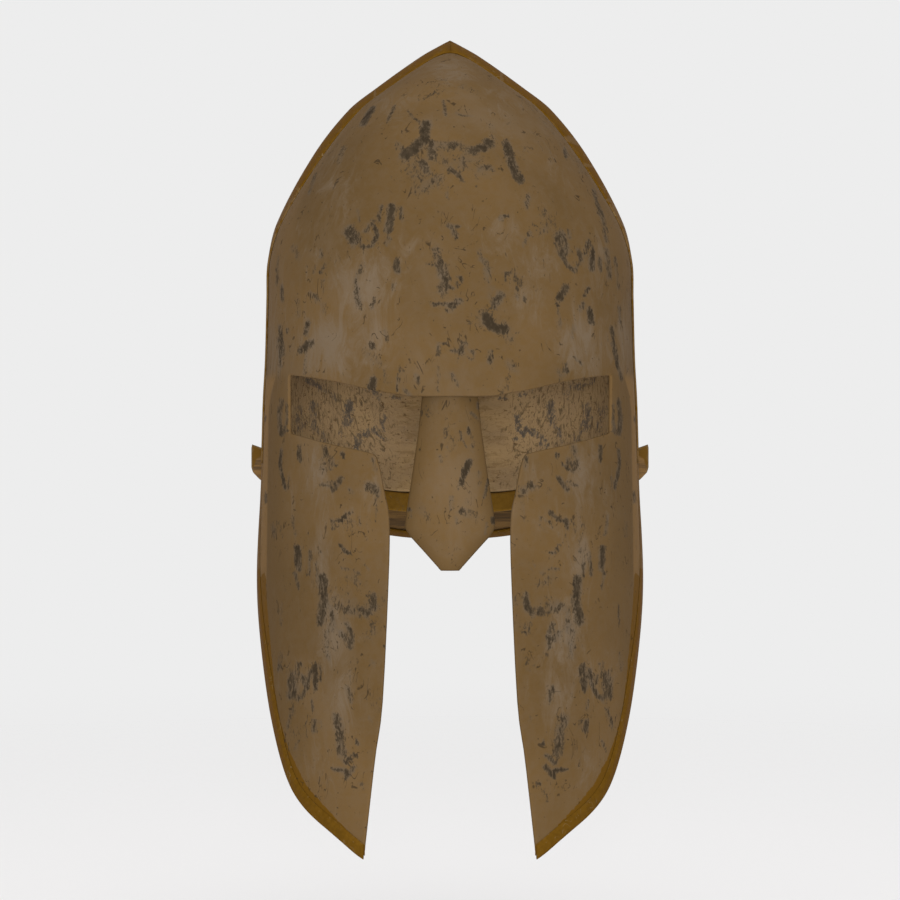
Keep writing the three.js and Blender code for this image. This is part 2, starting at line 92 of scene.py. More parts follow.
@dataclass(frozen=True)
class Section:
    """One oval section of the bowl's outer face, and how far the crown band stands off it there."""

    height: float
    half_width: float
    front: float
    rear: float
    rise: float


# Each row gives the height, the half width, the depths in front and behind, and the rise.
SECTIONS = tuple(Section(*row) for row in (
    (59.8, 0, 0, 0, 4.9), (53.2, 11.4, 29, 32, 5.0), (37.6, 33.0, 60, 67, 5.2),
    (28.1, 44.9, 72, 80, 5.2), (7.8, 61.0, 88, 98, 5.0), (-23.3, 80.0, 101, 113, 3.0),
    (-41, 85.6, 105, 117, 1.4), (-59, 86.3, 108, 118.5, 1.0), (-88, 87.1, 111, 118, 0.9),
    (-107, 88.1, 113, 115.5, 0.9), (-131, 88.8, 115, 108, 0.9), (-155, 89.5, 117, 101.5, 0.9),
    (-192, 90.7, 119, 98, 0.9), (-221, 90.6, 120, 98, 0.9), (-256, 90.0, 120.5, 98, 0.9),
    (-286, 89.2, 120, 98, 0.9), (-318, 88.5, 118.5, 98, 0.9),
))


class Bowl:
    """The surface that both shells, the lining and every band on them are offsets of."""

    power = 2.25
    samples = 6001

    def __init__(self, sections: Sequence[Section]) -> None:
        """Works out each column on a smooth curve through the sections, down the side.

        Args:
            sections: The oval sections from the apex down.
        """
        half = np.array([row.half_width for row in sections])
        height = np.array([row.height for row in sections])
        knots = np.concatenate([[0], np.cumsum(np.hypot(np.diff(half), np.diff(height)))])
        knots = knots / knots[-1]
        self.down = np.linspace(0, 1, self.samples)
        self.columns = {
            name: self._curve(knots, np.array([getattr(row, name) for row in sections], float))
            for name in ("height", "half_width", "front", "rear", "rise")
        }

    def _curve(self, knots: Array, values: Array) -> Array:
        """A smooth curve through one column.

        Args:
            knots: The place of each section, from 0 to 1.
            values: The column's values there.

        Returns:
            The curve at every sample.
        """
        before = np.maximum(np.arange(len(knots)) - 1, 0)
        after = np.minimum(np.arange(len(knots)) + 1, len(knots) - 1)
        slopes = (values[after] - values[before]) / (knots[after] - knots[before])
        i = np.clip(np.searchsorted(knots, self.down, side="right") - 1, 0, len(knots) - 2)
        span = knots[i + 1] - knots[i]
        s = (self.down - knots[i]) / span
        rise = values[i + 1] - values[i]
        start, end = slopes[i] * span, slopes[i + 1] * span
        square, cube = 3 * rise - 2 * start - end, start + end - 2 * rise
        return values[i] + start * s + square * s**2 + cube * s**3

    def column(self, name: str, down: Array) -> Array:
        """One column at any places down the bowl."""
        return np.interp(down, self.down, self.columns[name])

    def down_at(self, height: Array) -> Array:
        """The places down the bowl with these heights."""
        return np.interp(-np.asarray(height, float), -self.columns["height"], self.down)

    def point(self, angle: Array, down: Array) -> Array:
        """Points of the outer face.

        Args:
            angle: Degrees round the bowl: 0 is the front, 90 the side with +X and 180 the back.
            down: Places from the apex, 0, to the tips, 1.

        Returns:
            An array of points in millimetres.
        """
        radians = np.radians(angle)
        forward = np.sign(np.cos(radians)) * np.abs(np.cos(radians)) ** (2 / self.power)
        sideways = np.sign(np.sin(radians)) * np.abs(np.sin(radians)) ** (2 / self.power)
        depth = np.where(forward > 0, self.column("front", down), self.column("rear", down))
        return np.stack(
            [self.column("half_width", down) * sideways, -depth * forward, self.column("height", down)], -1
        )

    def normal(self, angle: Array, down: Array) -> Array:
        """Outward directions of the outer face.

        Args:
            angle: Degrees round the bowl.
            down: Places down the bowl.

        Returns:
            An array of directions.
        """
        step = 0.002
        near = np.maximum(down, 2 * step)
        around = self.point(angle + 0.7, near) - self.point(angle - 0.7, near)
        along = self.point(angle, np.minimum(near + step, 1)) - self.point(angle, near - step)
        out = np.cross(along, around)
        return out / np.linalg.norm(out, axis=-1, keepdims=True)

    def slide(self, angle: Array, down: Array, step: Array) -> tuple[Array, Array]:
        """Moves places along the bowl.

        Args:
            angle: Degrees round the bowl.
            down: Places down the bowl.
            step: How far each place moves, in millimetres.

        Returns:
            The new angles and places down the bowl.
        """
        target = self.point(angle, down) + step
        for _ in range(4):
            here = self.point(angle, down)
            around = (self.point(angle + 0.2, down) - here) / 0.2
            along = (here - self.point(angle, down - 0.001)) / 0.001
            gap = target - here
            pairs = ((around, around), (around, along), (along, along), (gap, around), (gap, along))
            aa, ab, bb, ga, gb = (np.sum(p * q, -1) for p, q in pairs)
            det = np.maximum(aa * bb - ab**2, 1e-9)
            angle = angle + (ga * bb - gb * ab) / det
            down = np.clip(down + (gb * aa - ga * ab) / det, 0.01, 1)
        return angle, down

    def angle_at_depth(self, depth: Array, down: Array, side: float) -> Array:
        """The angles where the sections have these depths, on one side of the bowl.

        Args:
            depth: The depths, below 0 in front.
            down: Places down the bowl.
            side: 1 for the side with +X and -1 for the other.

        Returns:
            The angles in degrees.
        """
        reach = np.where(depth < 0, self.column("front", down), self.column("rear", down))
        share = np.clip(np.abs(depth) / np.maximum(reach, 1e-6), 0, 1) ** (self.power / 2)
        from_side = np.degrees(np.arcsin(share))
        return side * np.where(depth < 0, 90 - from_side, 90 + from_side)


BOWL = Bowl(SECTIONS)
DENT_WAVES = 16


def hammered(points: Array, size: float, reach: float, seed: int) -> Array:
    """Low dents and swellings, as a hammer leaves them.

    Args:
        points: Points in millimetres.
        size: The usual length of one dent.
        reach: How far the surface moves in or out at most.
        seed: Which pattern.

    Returns:
        The distance at each point.
    """
    rng = np.random.default_rng(seed)
    total = np.zeros(points.shape[:-1])
    for _ in range(DENT_WAVES):
        direction = rng.normal(size=3)
        direction /= np.linalg.norm(direction)
        length = size * rng.uniform(0.7, 2.4)
        total += np.sin(points @ direction * (2 * math.pi / length) + rng.uniform(0, 2 * math.pi))
    return np.tanh(total / math.sqrt(DENT_WAVES)) * reach


# ---- Outlines ----

SHARP_TURN = 0.35
MOST_CUT = 0.45
FLATTEST = 0.03
FACE_BACK = -20.0
WELL_INSIDE = 30.0


def through(points: Sequence[Pair], count: int) -> Array:
    """A smooth run through given points.

    Args:
        points: The points, in order.
        count: How many points the run has.

    Returns:
        The run, as an array of points.
    """
    rows = np.array(points, float)
    knots = np.arange(len(rows))
    padded = np.vstack([2 * rows[0] - rows[1], rows, 2 * rows[-1] - rows[-2]])
    place = np.linspace(0, len(rows) - 1, count)
    i = np.clip(np.floor(place).astype(int), 0, len(rows) - 2)
    s = (place - knots[i])[:, None]
    a, b, c, d = padded[i], padded[i + 1], padded[i + 2], padded[i + 3]
    square, cube = 2 * a - 5 * b + 4 * c - d, 3 * b - a - 3 * c + d
    return 0.5 * (2 * b + (c - a) * s + square * s**2 + cube * s**3)


def curve(start: Array, bend: Array, end: Array, shares: Array) -> list[Array]:
    """Places along a curve from its start to its end, drawn toward its bend."""
    return [start * (1 - s) ** 2 + 2 * bend * s * (1 - s) + end * s**2 for s in shares]


def rounded(corners: Array, reach: float, steps: int = 4) -> Array:
    """Rounds the sharp corners of a run, leaving gentle bends as they are.

    Args:
        corners: The run's points.
        reach: How far from a corner its rounding starts, at most.
        steps: How many parts each rounding has.

    Returns:
        The run with its corners rounded.
    """
    out = [corners[0]]
    for before, here, after in zip(corners[:-2], corners[1:-1], corners[2:]):
        into, away = here - before, after - here
        long_in, long_out = np.linalg.norm(into), np.linalg.norm(away)
        turn = abs(into[0] * away[1] - into[1] * away[0]) / max(long_in * long_out, 1e-9)
        if turn < SHARP_TURN:
            out.append(here)
            continue
        cut = min(reach, long_in * MOST_CUT, long_out * MOST_CUT)
        start, end = here - into / long_in * cut, here + away / long_out * cut
        out += curve(start, here, end, np.linspace(0, 1, steps + 1))
    out.append(corners[-1])
    return np.array(out)


@dataclass(frozen=True)
class Outline:
    """An outline in a flat view, which tells how far inside it a point lies."""

    corners: Array
    closed: bool
    keep_left: bool

    def distance(self, flat: Array) -> tuple[Array, Array]:
        """Signed distances to the outline.

        Args:
            flat: Points in the outline's view.

        Returns:
            The distance of each point, positive on the side that is kept, and the direction to it
            from the nearest point of the outline.
        """
        ends = np.roll(self.corners, -1, axis=0) if self.closed else self.corners[1:]
        starts = self.corners if self.closed else self.corners[:-1]
        best = np.full(len(flat), np.inf)
        nearest = np.zeros_like(flat)
        side = np.zeros(len(flat))
        for a, b in zip(starts, ends):
            edge = b - a
            share = np.clip(((flat - a) @ edge) / max(edge @ edge, 1e-12), 0, 1)
            foot = a + share[:, None] * edge
            gap = np.linalg.norm(flat - foot, axis=1)
            cross = edge[0] * (flat[:, 1] - a[1]) - edge[1] * (flat[:, 0] - a[0])
            inner = (share > 0) & (share < 1)
            better = (gap < best - 1e-9) | ((np.abs(gap - best) <= 1e-9) & inner)
            best = np.where(better, gap, best)
            nearest = np.where(better[:, None], foot, nearest)
            side = np.where(better, np.sign(cross), side)
        if self.closed:
            inside = self._inside(flat, starts, ends)
            signed = np.where(inside == self.keep_left, best, -best)
        else:
            signed = best * (side if self.keep_left else -side)
        away = flat - nearest
        length = np.maximum(np.linalg.norm(away, axis=1, keepdims=True), 1e-9)
        return signed, away / length

    @staticmethod
    def _inside(flat: Array, starts: Array, ends: Array) -> Array:
        """Whether each point is inside the closed outline, by counting crossings.

        Args:
            flat: The points.
            starts: Where each edge of the outline starts.
            ends: Where each ends.

        Returns:
            True for each point inside.
        """
        count = np.zeros(len(flat), int)
        for a, b in zip(starts, ends):
            spans = (a[1] > flat[:, 1]) != (b[1] > flat[:, 1])
            rise = b[1] - a[1] if abs(b[1] - a[1]) > 1e-12 else 1e-12
            count += spans & (flat[:, 0] < a[0] + (flat[:, 1] - a[1]) / rise * (b[0] - a[0]))
        return count % 2 == 1


class FlatView(Enum):
    """The flat view that an outline is drawn in, as the two axes it shows and the one it hides."""

    FRONT = (0, 2, 1)
    SIDE = (1, 2, 0)


@dataclass(frozen=True)
class Cut:
    """One outline that a shell is cut to."""

    outline: Outline
    view: FlatView

    def field(self, angle: Array, down: Array) -> Array:
        """How far inside the cut each place of the bowl is, measured along its surface.

        Args:
            angle: Degrees round the bowl.
            down: Places down the bowl.

        Returns:
            The distances, below 0 outside.
        """
        across, up, _ = self.view.value
        points = BOWL.point(angle, down)
        normals = BOWL.normal(angle, down)
        flat = points[:, [across, up]]
        signed, away = self.outline.distance(flat)
        tilt = normals[:, across] * away[:, 0] + normals[:, up] * away[:, 1]
        distance = signed / np.sqrt(np.maximum(1 - tilt**2, FLATTEST))
        if self.view is FlatView.FRONT:
            distance = np.where(points[:, 1] > FACE_BACK, np.maximum(distance, WELL_INSIDE), distance)
        return distance


# ---- Meshes ----

SNAP = 0.03


@dataclass
class Patch:
    """Faces over the bowl whose corners are kept as places on it."""

    angle: list[float]
    down: list[float]
    faces: Faces

    @classmethod
    def grid(cls, angles: Array, downs: Array) -> "Patch":
        """A patch of four-sided faces.

        Args:
            angles: Degrees round the bowl, in order.
            downs: Places down the bowl, in order.

        Returns:
            The patch.
        """
        a, d = np.meshgrid(angles, downs)
        count = len(angles)
        faces = [
            [j * count + i, (j + 1) * count + i, (j + 1) * count + i + 1, j * count + i + 1]
            for j in range(len(downs) - 1)
            for i in range(count - 1)
        ]
        return cls(a.ravel().tolist(), d.ravel().tolist(), faces)

    def split(self, field: Field, level: float, keep_low: bool) -> None:
        """Cuts the faces along a line where the field has this level.

        Args:
            field: Gives a value at any places of the bowl.
            level: The value along the cut.
            keep_low: Whether the faces below the level stay.
        """
        values = field(np.array(self.angle), np.array(self.down)) - level
        values[np.abs(values) < SNAP] = 0.0
        marks = values.tolist()
        crossing: Edges = {}
        for face in self.faces:
            for a, b in zip(face, face[1:] + face[:1]):
                if marks[a] * marks[b] < 0:
                    crossing.setdefault((min(a, b), max(a, b)), len(crossing))
        if crossing:
            self._place_crossings(crossing, field, level, values)
        kept: Faces = []
        for face in self.faces:
            signs = [marks[i] for i in face]
            if min(signs) >= 0 or max(signs) <= 0:
                if keep_low or max(signs) > 0:
                    kept.append(face)
                continue
            high, low = [], []
            for a, b in zip(face, face[1:] + face[:1]):
                if marks[a] >= 0:
                    high.append(a)
                if marks[a] <= 0:
                    low.append(a)
                if marks[a] * marks[b] < 0:
                    new = len(marks) + crossing[(min(a, b), max(a, b))]
                    high.append(new)
                    low.append(new)
            kept += [high, low] if keep_low else [high]
        self.faces = [face for face in kept if len(face) > 2]
        self._tidy()

    def _place_crossings(self, crossing: Edges, field: Field, level: float, values: Array) -> None:
        """Adds a corner where each crossed edge meets the level, found in three steps.

        Args:
            crossing: The crossed edges, in order.
            field: Gives a value at any places of the bowl.
            level: The value along the cut.
            values: How far each corner is over the level.
        """
        start, end = np.array(list(crossing)).T
        places = np.array([self.angle, self.down])
        low, high = np.zeros(len(start)), np.ones(len(start))
        value_low, value_high = values[start], values[end]
        share = value_low / (value_low - value_high)
        for _ in range(3):
            here = field(*(places[:, start] * (1 - share) + places[:, end] * share)) - level
            same = np.sign(here) == np.sign(value_low)
            low, value_low = np.where(same, share, low), np.where(same, here, value_low)
            high, value_high = np.where(same, high, share), np.where(same, value_high, here)
            step = value_low - value_high
            share = low + (high - low) * np.clip(value_low / np.where(step == 0, 1, step), 0.02, 0.98)
        found = places[:, start] * (1 - share) + places[:, end] * share
        self.angle += found[0].tolist()
        self.down += found[1].tolist()

    def _tidy(self) -> None:
        """Drops the corners that no face uses."""
        used = sorted({i for face in self.faces for i in face})
        renumber = {old: new for new, old in enumerate(used)}
        self.angle, self.down = ([row[i] for i in used] for row in (self.angle, self.down))
        self.faces = [[renumber[i] for i in face] for face in self.faces]

    def rim(self) -> list[tuple[int, int]]:
        """The free edges, apart from the apex and the seam at the back.

        Returns:
            Pairs of corners, in their face's direction.
        """
        seen = {pair: True for face in self.faces for pair in zip(face, face[1:] + face[:1])}
        angle, down = np.array(self.angle), np.array(self.down)
        joined = [(a, b) for a, b in seen if (b, a) not in seen]
        return [
            (a, b) for a, b in joined
            if down[a] + down[b] > 0 and min(abs(angle[a]), abs(angle[b])) < 180
        ]


def placed(name: str, data: bpy.types.ID) -> Piece:
    """Puts a new object in the scene.

    Args:
        name: Its name.
        data: Its mesh, light or camera.

    Returns:
        The object.
    """
    made = bpy.data.objects.new(name, data)
    bpy.context.scene.collection.objects.link(made)
    return made


def make_piece(
    node: str, material: Material, points: Array, faces: Faces, masks: Masks
) -> Piece:
    """A smooth-shaded piece that takes the place of one plain node.

    Args:
        node: The node that it replaces.
        material: Its material.
        points: Its points in millimetres.
        faces: Its faces.
        masks: Values from 0 to 1 at its points that its material reads by name.

    Returns:
        The piece.
    """
    name = f"{node}_dressed"
    mesh = bpy.data.meshes.new(name)
    mesh.from_pydata((points * MM).tolist(), [], faces)
    for label, values in masks.items():
        attribute = mesh.attributes.new(label, "FLOAT", "POINT")
        attribute.data.foreach_set("value", np.asarray(values, np.float32))
    shape = bmesh.new()
    shape.from_mesh(mesh)
    bmesh.ops.remove_doubles(shape, verts=shape.verts, dist=SAME_PLACE)
    bmesh.ops.recalc_face_normals(shape, faces=shape.faces)
    shape.to_mesh(mesh)
    shape.free()
    mesh.validate()
    mesh.shade_smooth()
    mesh.materials.append(material)
    piece = placed(name, mesh)
    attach(piece, BODY)
    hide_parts(node)
    return piece


def edge_thickness(distance: Array, thickness: float, radius: float) -> Array:
    """Half the sheet's thickness at a distance from its edge, where its faces round off."""
    inner = np.clip(radius - distance, 0, radius)
    return thickness / 2 - radius + np.sqrt(np.maximum(radius**2 - inner**2, 0))


def ring_faces(rows: int, ring: int) -> Faces:
    """Faces of a tube with both ends capped.

    Args:
        rows: How many rings of points it has.
        ring: How many points each has.

    Returns:
        The faces.
    """
    faces = []
    for i in range(rows - 1):
        here, ahead = i * ring, (i + 1) * ring
        for j in range(ring):
            k = (j + 1) % ring
            faces.append([here + j, here + k, ahead + k, ahead + j])
    return [*faces, list(range(ring))[::-1], [(rows - 1) * ring + j for j in range(ring)]]


def both_sides(middle: Array, reach: Array) -> Array:
    """The points of two grids, to both sides of a middle one."""
    return np.vstack([(middle - reach).reshape(-1, 3), (middle + reach).reshape(-1, 3)])


def sheet_faces(rows: int, columns: int) -> Faces:
    """Faces of a closed sheet: one grid of points, then a second grid behind it.

    Args:
        rows: How many rows of points each grid has.
        columns: How many points each row has.

    Returns:
        The faces.
    """
    count = rows * columns
    faces = []
    for j in range(rows - 1):
        for i in range(columns - 1):
            a, b = j * columns + i, j * columns + i + 1
            c, d = b + columns, a + columns
            faces += [[a, b, c, d], [d + count, c + count, b + count, a + count]]
    edge = [*range(columns), *(j * columns + columns - 1 for j in range(1, rows))]
    edge += [(rows - 1) * columns + i for i in range(columns - 2, -1, -1)]
    edge += [j * columns for j in range(rows - 2, 0, -1)]
    return faces + [[b, a, a + count, b + count] for a, b in zip(edge, edge[1:] + edge[:1])]


# ---- Marks: where the metal is scuffed and where it is hazed ----


@dataclass(frozen=True)
class Stroke:
    """A dark mark: a path of places, across and up or in space, its half width and its strength."""

    path: tuple[tuple[float, ...], ...]
    width: float
    strength: float = 1.0


@dataclass(frozen=True)
class Haze:
    """A pale patch seen from the front: its middle, its half sizes and how strong it is."""

    across: float
    height: float
    wide: float
    tall: float
    strength: float = 1.0


def strokes(*rows: tuple[float, ...]) -> tuple[Stroke, ...]:
    """Strokes from rows of a path's places, across and up in turn, a half width and a strength."""
    return tuple(Stroke(tuple(zip(row[:-2:2], row[1:-2:2])), *row[-2:]) for row in rows)


def hazes(*rows: tuple[float, ...]) -> tuple[Haze, ...]:
    """Pale patches from rows of a middle, the half sizes and a strength."""
    return tuple(Haze(*row) for row in rows)


FOREHEAD_STROKES = strokes(
    # The large smear and the crust of specks beside it.
    (-10.5, 13, -11.5, 6.5, -14.5, 3, -20, -1, 3.4, 1.15), (-11, 13, -16.5, 17, -19, 21, 1.2, 0.8),
    (-23, 4, -21, 2, 2.2, 0.7), (-8, 4, -8, -2, 2.8, 1.0), (-12, -5, -10, -9, 3.0, 0.9),
    (-17, -8, -10, -14, -6, -12, 5.5, 0.62), (-14, -17, -8, -15, 4.5, 0.55), (-18, -3, 12, -5, 8.5, 0.4),
    (-20, -9, -4, -13, 6.5, 0.42), (-4, 3, 4, 3, 10, 1, 3.6, 0.66), (-2, -4, 6, -5, 4.5, 0.55),
    (10, 1, 15, 2.5, 18, 4, 2.8, 1.0), (16, 5.5, 18, 4.5, 2.2, 1.1),
    (25, 5, 27, -3, 29, -9, 31, -12, 2.8, 1.05), (0, -8, 4, -10.5, 5.5, -13, 1.8, 0.95),
    (5, -3, 5, -7, 2.2, 0.8), (13, -7, 18, -7, 2.6, 0.75), (12, -9, 11, -15, 2.0, 0.5),
    (0, -16, -1, -21, 1.2, 0.7),
    # The upper forehead.
    (-35.5, 24.5, -37.5, 21, -39.5, 17, 2.3, 1.1), (-25, 24, -28, 16, 1.4, 0.75),
    (-3, 25, -2, 18, 1.3, 0.8), (2.5, 18.5, 10, 17.2, 1.1, 0.65), (18, 14, 20, 7, 2.6, 0.5),
    (52.5, 7, 52.8, 2, 1.6, 0.8), (59, 3, 60, -2, 4.0, 0.5), (66, -12, 68, -24, 1.9, 0.8),
    (69, -22, 71, -36, 1.9, 0.75), (-62, -4, -64, -14, 1.6, 0.6), (-48, 6, -51, -1, 2.0, 0.6),
    (33, 3, 36, 4, 1.6, 0.5), (5, 33, 12, 30, 2.2, 0.5),
    # The hooked marks, left and right.
    (-25.5, -25, -27, -35, 2.5, 1.1), (-30, -24, -31.5, -31, 1.3, 0.9), (-21.5, -25, -21, -31, 1.4, 0.85),
    (-44, -35, -42, -38.5, 4.3, 0.95), (-34, -31, -31.7, -37, -34.5, -42.5, -38.5, -42.5, 1.4, 0.95),
    (-37, -35.5, -35.5, -32, 1.4, 0.8), (-40.4, -25.5, -40, -30, 1.4, 0.6),
    (-27.7, -42, -26.4, -38.5, 1.2, 0.8), (48.5, -37, 50, -43, 4.2, 0.95),
    (56.5, -41.5, 58.3, -47, 55.2, -52, 52, -50, 49.5, -45.5, 1.5, 0.95), (62, -38, 59.7, -44, 1.4, 0.95),
    (63.7, -41.5, 63.2, -50.5, 1.9, 1.05), (67, -45, 67.4, -51, 1.3, 0.8),
    (52.5, -34, 53, -37.5, 1.3, 0.8), (41, -26, 46, -31, 41, -34, 3.2, 0.52),
    (34.5, -19, 33.5, -25, 1.3, 0.75), (35, -36, 32, -41.5, 1.3, 0.8), (22, -29.6, 25, -28.7, 1.6, 0.95),
    (-1.5, -33, 4, -34, 1.5, 0.9), (1, -34, 2.6, -39, 1.6, 0.9),
    # The brown smear on the middle line and its spurs.
    (-6.5, -44, -4.5, -51, -4, -54, 2.9, 0.85), (-3.5, -52, -1.8, -58, -4, -62, 3.6, 0.85),
    (-10, -50, -5, -50.5, 1.3, 0.7), (-1, -61.5, 4, -59.5, 1.3, 0.95),
    (-7.6, -68.3, -1.4, -68.2, 1.4, 1.0), (-0.5, -70.5, 4, -66.5, 1.9, 1.0), (4, -56, 5, -57, 1.6, 0.95),
    (12.5, -44.5, 12.8, -49, 1.3, 0.8), (15.5, -49, 16.5, -56.5, 2.2, 0.68),
    (24.5, -54.5, 24, -57, 1.4, 0.85), (28, -54, 30.5, -58.5, 3.0, 0.66),
    (29.5, -61, 29.5, -65, 1.7, 0.75), (17.5, -61, 18, -66, 3.2, 0.5), (19, -68.5, 22, -64, 2.4, 1.05),
    (15.5, -74, 18.5, -78.2, 23.5, -79, 2.7, 1.2), (14, -72, 26, -82, 6.0, 0.5),
    (7, -75.5, 9, -75.6, 1.3, 0.7), (-0.2, -88, 4.5, -88.4, 6.2, -84.5, 1.6, 0.85),
    (3.5, -93, 5, -89.8, 10, -88, 11, -90.5, 7, -93, 1.0, 0.62), (17.6, -88.5, 17, -93.5, 1.4, 0.85),
    (25, -93, 28, -96, 3.2, 0.52), (-0.8, -84.3, -4.7, -85.6, -5.2, -89.4, 1.3, 0.9),
    (-5.6, -95, -5.7, -105.5, 1.3, 0.62), (1, -98, 3, -103, 1.3, 0.8),
    # The left side, down to the brow.
    (-23.4, -48.8, -22.6, -53.4, 2.2, 0.95), (-38.3, -50, -41.5, -57, -40.5, -64, -39, -69, 1.9, 0.82),
    (-33, -65, -34, -69, 1.5, 0.8), (-24.6, -58, -24.6, -62, 1.3, 0.75),
    (-28.4, -79, -27, -83.5, 1.6, 0.7), (-34, -84.5, -33.4, -86.5, 1.8, 0.95),
    (-36, -88, -31, -93, 3.4, 0.52), (-33.2, -100.6, -34, -104, 2.3, 1.3),
    (-22.3, -99.5, -23, -105, 1.3, 0.9), (-28, -97, -28, -102, 1.1, 0.7),
    (-22, -95.5, -20.5, -97.5, 1.7, 0.65), (-14.4, -98.5, -14, -101, 1.4, 0.8),
    (-19.4, -105, -17.5, -107, 1.4, 0.8), (-66.5, -86.5, -62, -83.5, 2.6, 0.95),
    (-64, -86, -64.5, -97, 1.5, 0.55), (-63.2, -74.5, -64.3, -79, 1.8, 0.9),
    (-73.6, -76.4, -73.6, -77.6, 1.2, 0.95), (-77.6, -75, -75.5, -88, 1.9, 0.82),
    (-78.5, -80, -76.5, -94, 1.5, 0.65), (-76.6, -56.5, -76.2, -63.5, 1.5, 0.8),
    (-69, -62, -68, -71, 2.2, 0.5), (-61.5, -61, -59, -64.5, 2.0, 0.72), (-56, -56, -56.4, -60, 1.8, 0.55),
    (-56, -67, -56, -70, 1.9, 0.62), (-55.4, -49.8, -57.4, -52.4, 1.3, 0.95),
    (-60, -49.5, -60.4, -52.4, 1.2, 0.7), (-57, -42.5, -57.4, -46, 1.3, 0.7),
    (-79, -42, -79.5, -55, 1.7, 0.62), (-70.5, -40, -68.5, -44, 2.8, 0.55),
    # The right side, down to the brow.
    (51, -59.5, 48, -64.5, 2.4, 0.95), (47.3, -67, 47.5, -71.5, 1.4, 0.75),
    (48.3, -73.5, 48.2, -77, 1.5, 0.75), (54.8, -77, 53.8, -81, 1.6, 0.55),
    (62.2, -69, 62.9, -74, 1.9, 1.1), (62, -58.5, 59.6, -63, 1.2, 1.0), (59, -65.5, 58.8, -67, 1.3, 0.95),
    (57.7, -68, 57.4, -70, 1.2, 0.7), (72.8, -76, 74, -83, 75.4, -90.5, 1.9, 0.85),
    (75.5, -92, 78, -99, 1.4, 0.95), (77, -66, 77.4, -73, 1.3, 0.75), (70.6, -41, 72, -53, 2.2, 0.68),
    (75, -44, 77, -57, 1.8, 0.62), (50.8, -93.5, 51, -96.5, 1.7, 0.85),
    (47.5, -95, 48.6, -98.5, 2.2, 0.55), (54, -89.5, 58, -93, 1.1, 0.75), (32, -63.5, 32.4, -66, 1.4, 0.8),
)

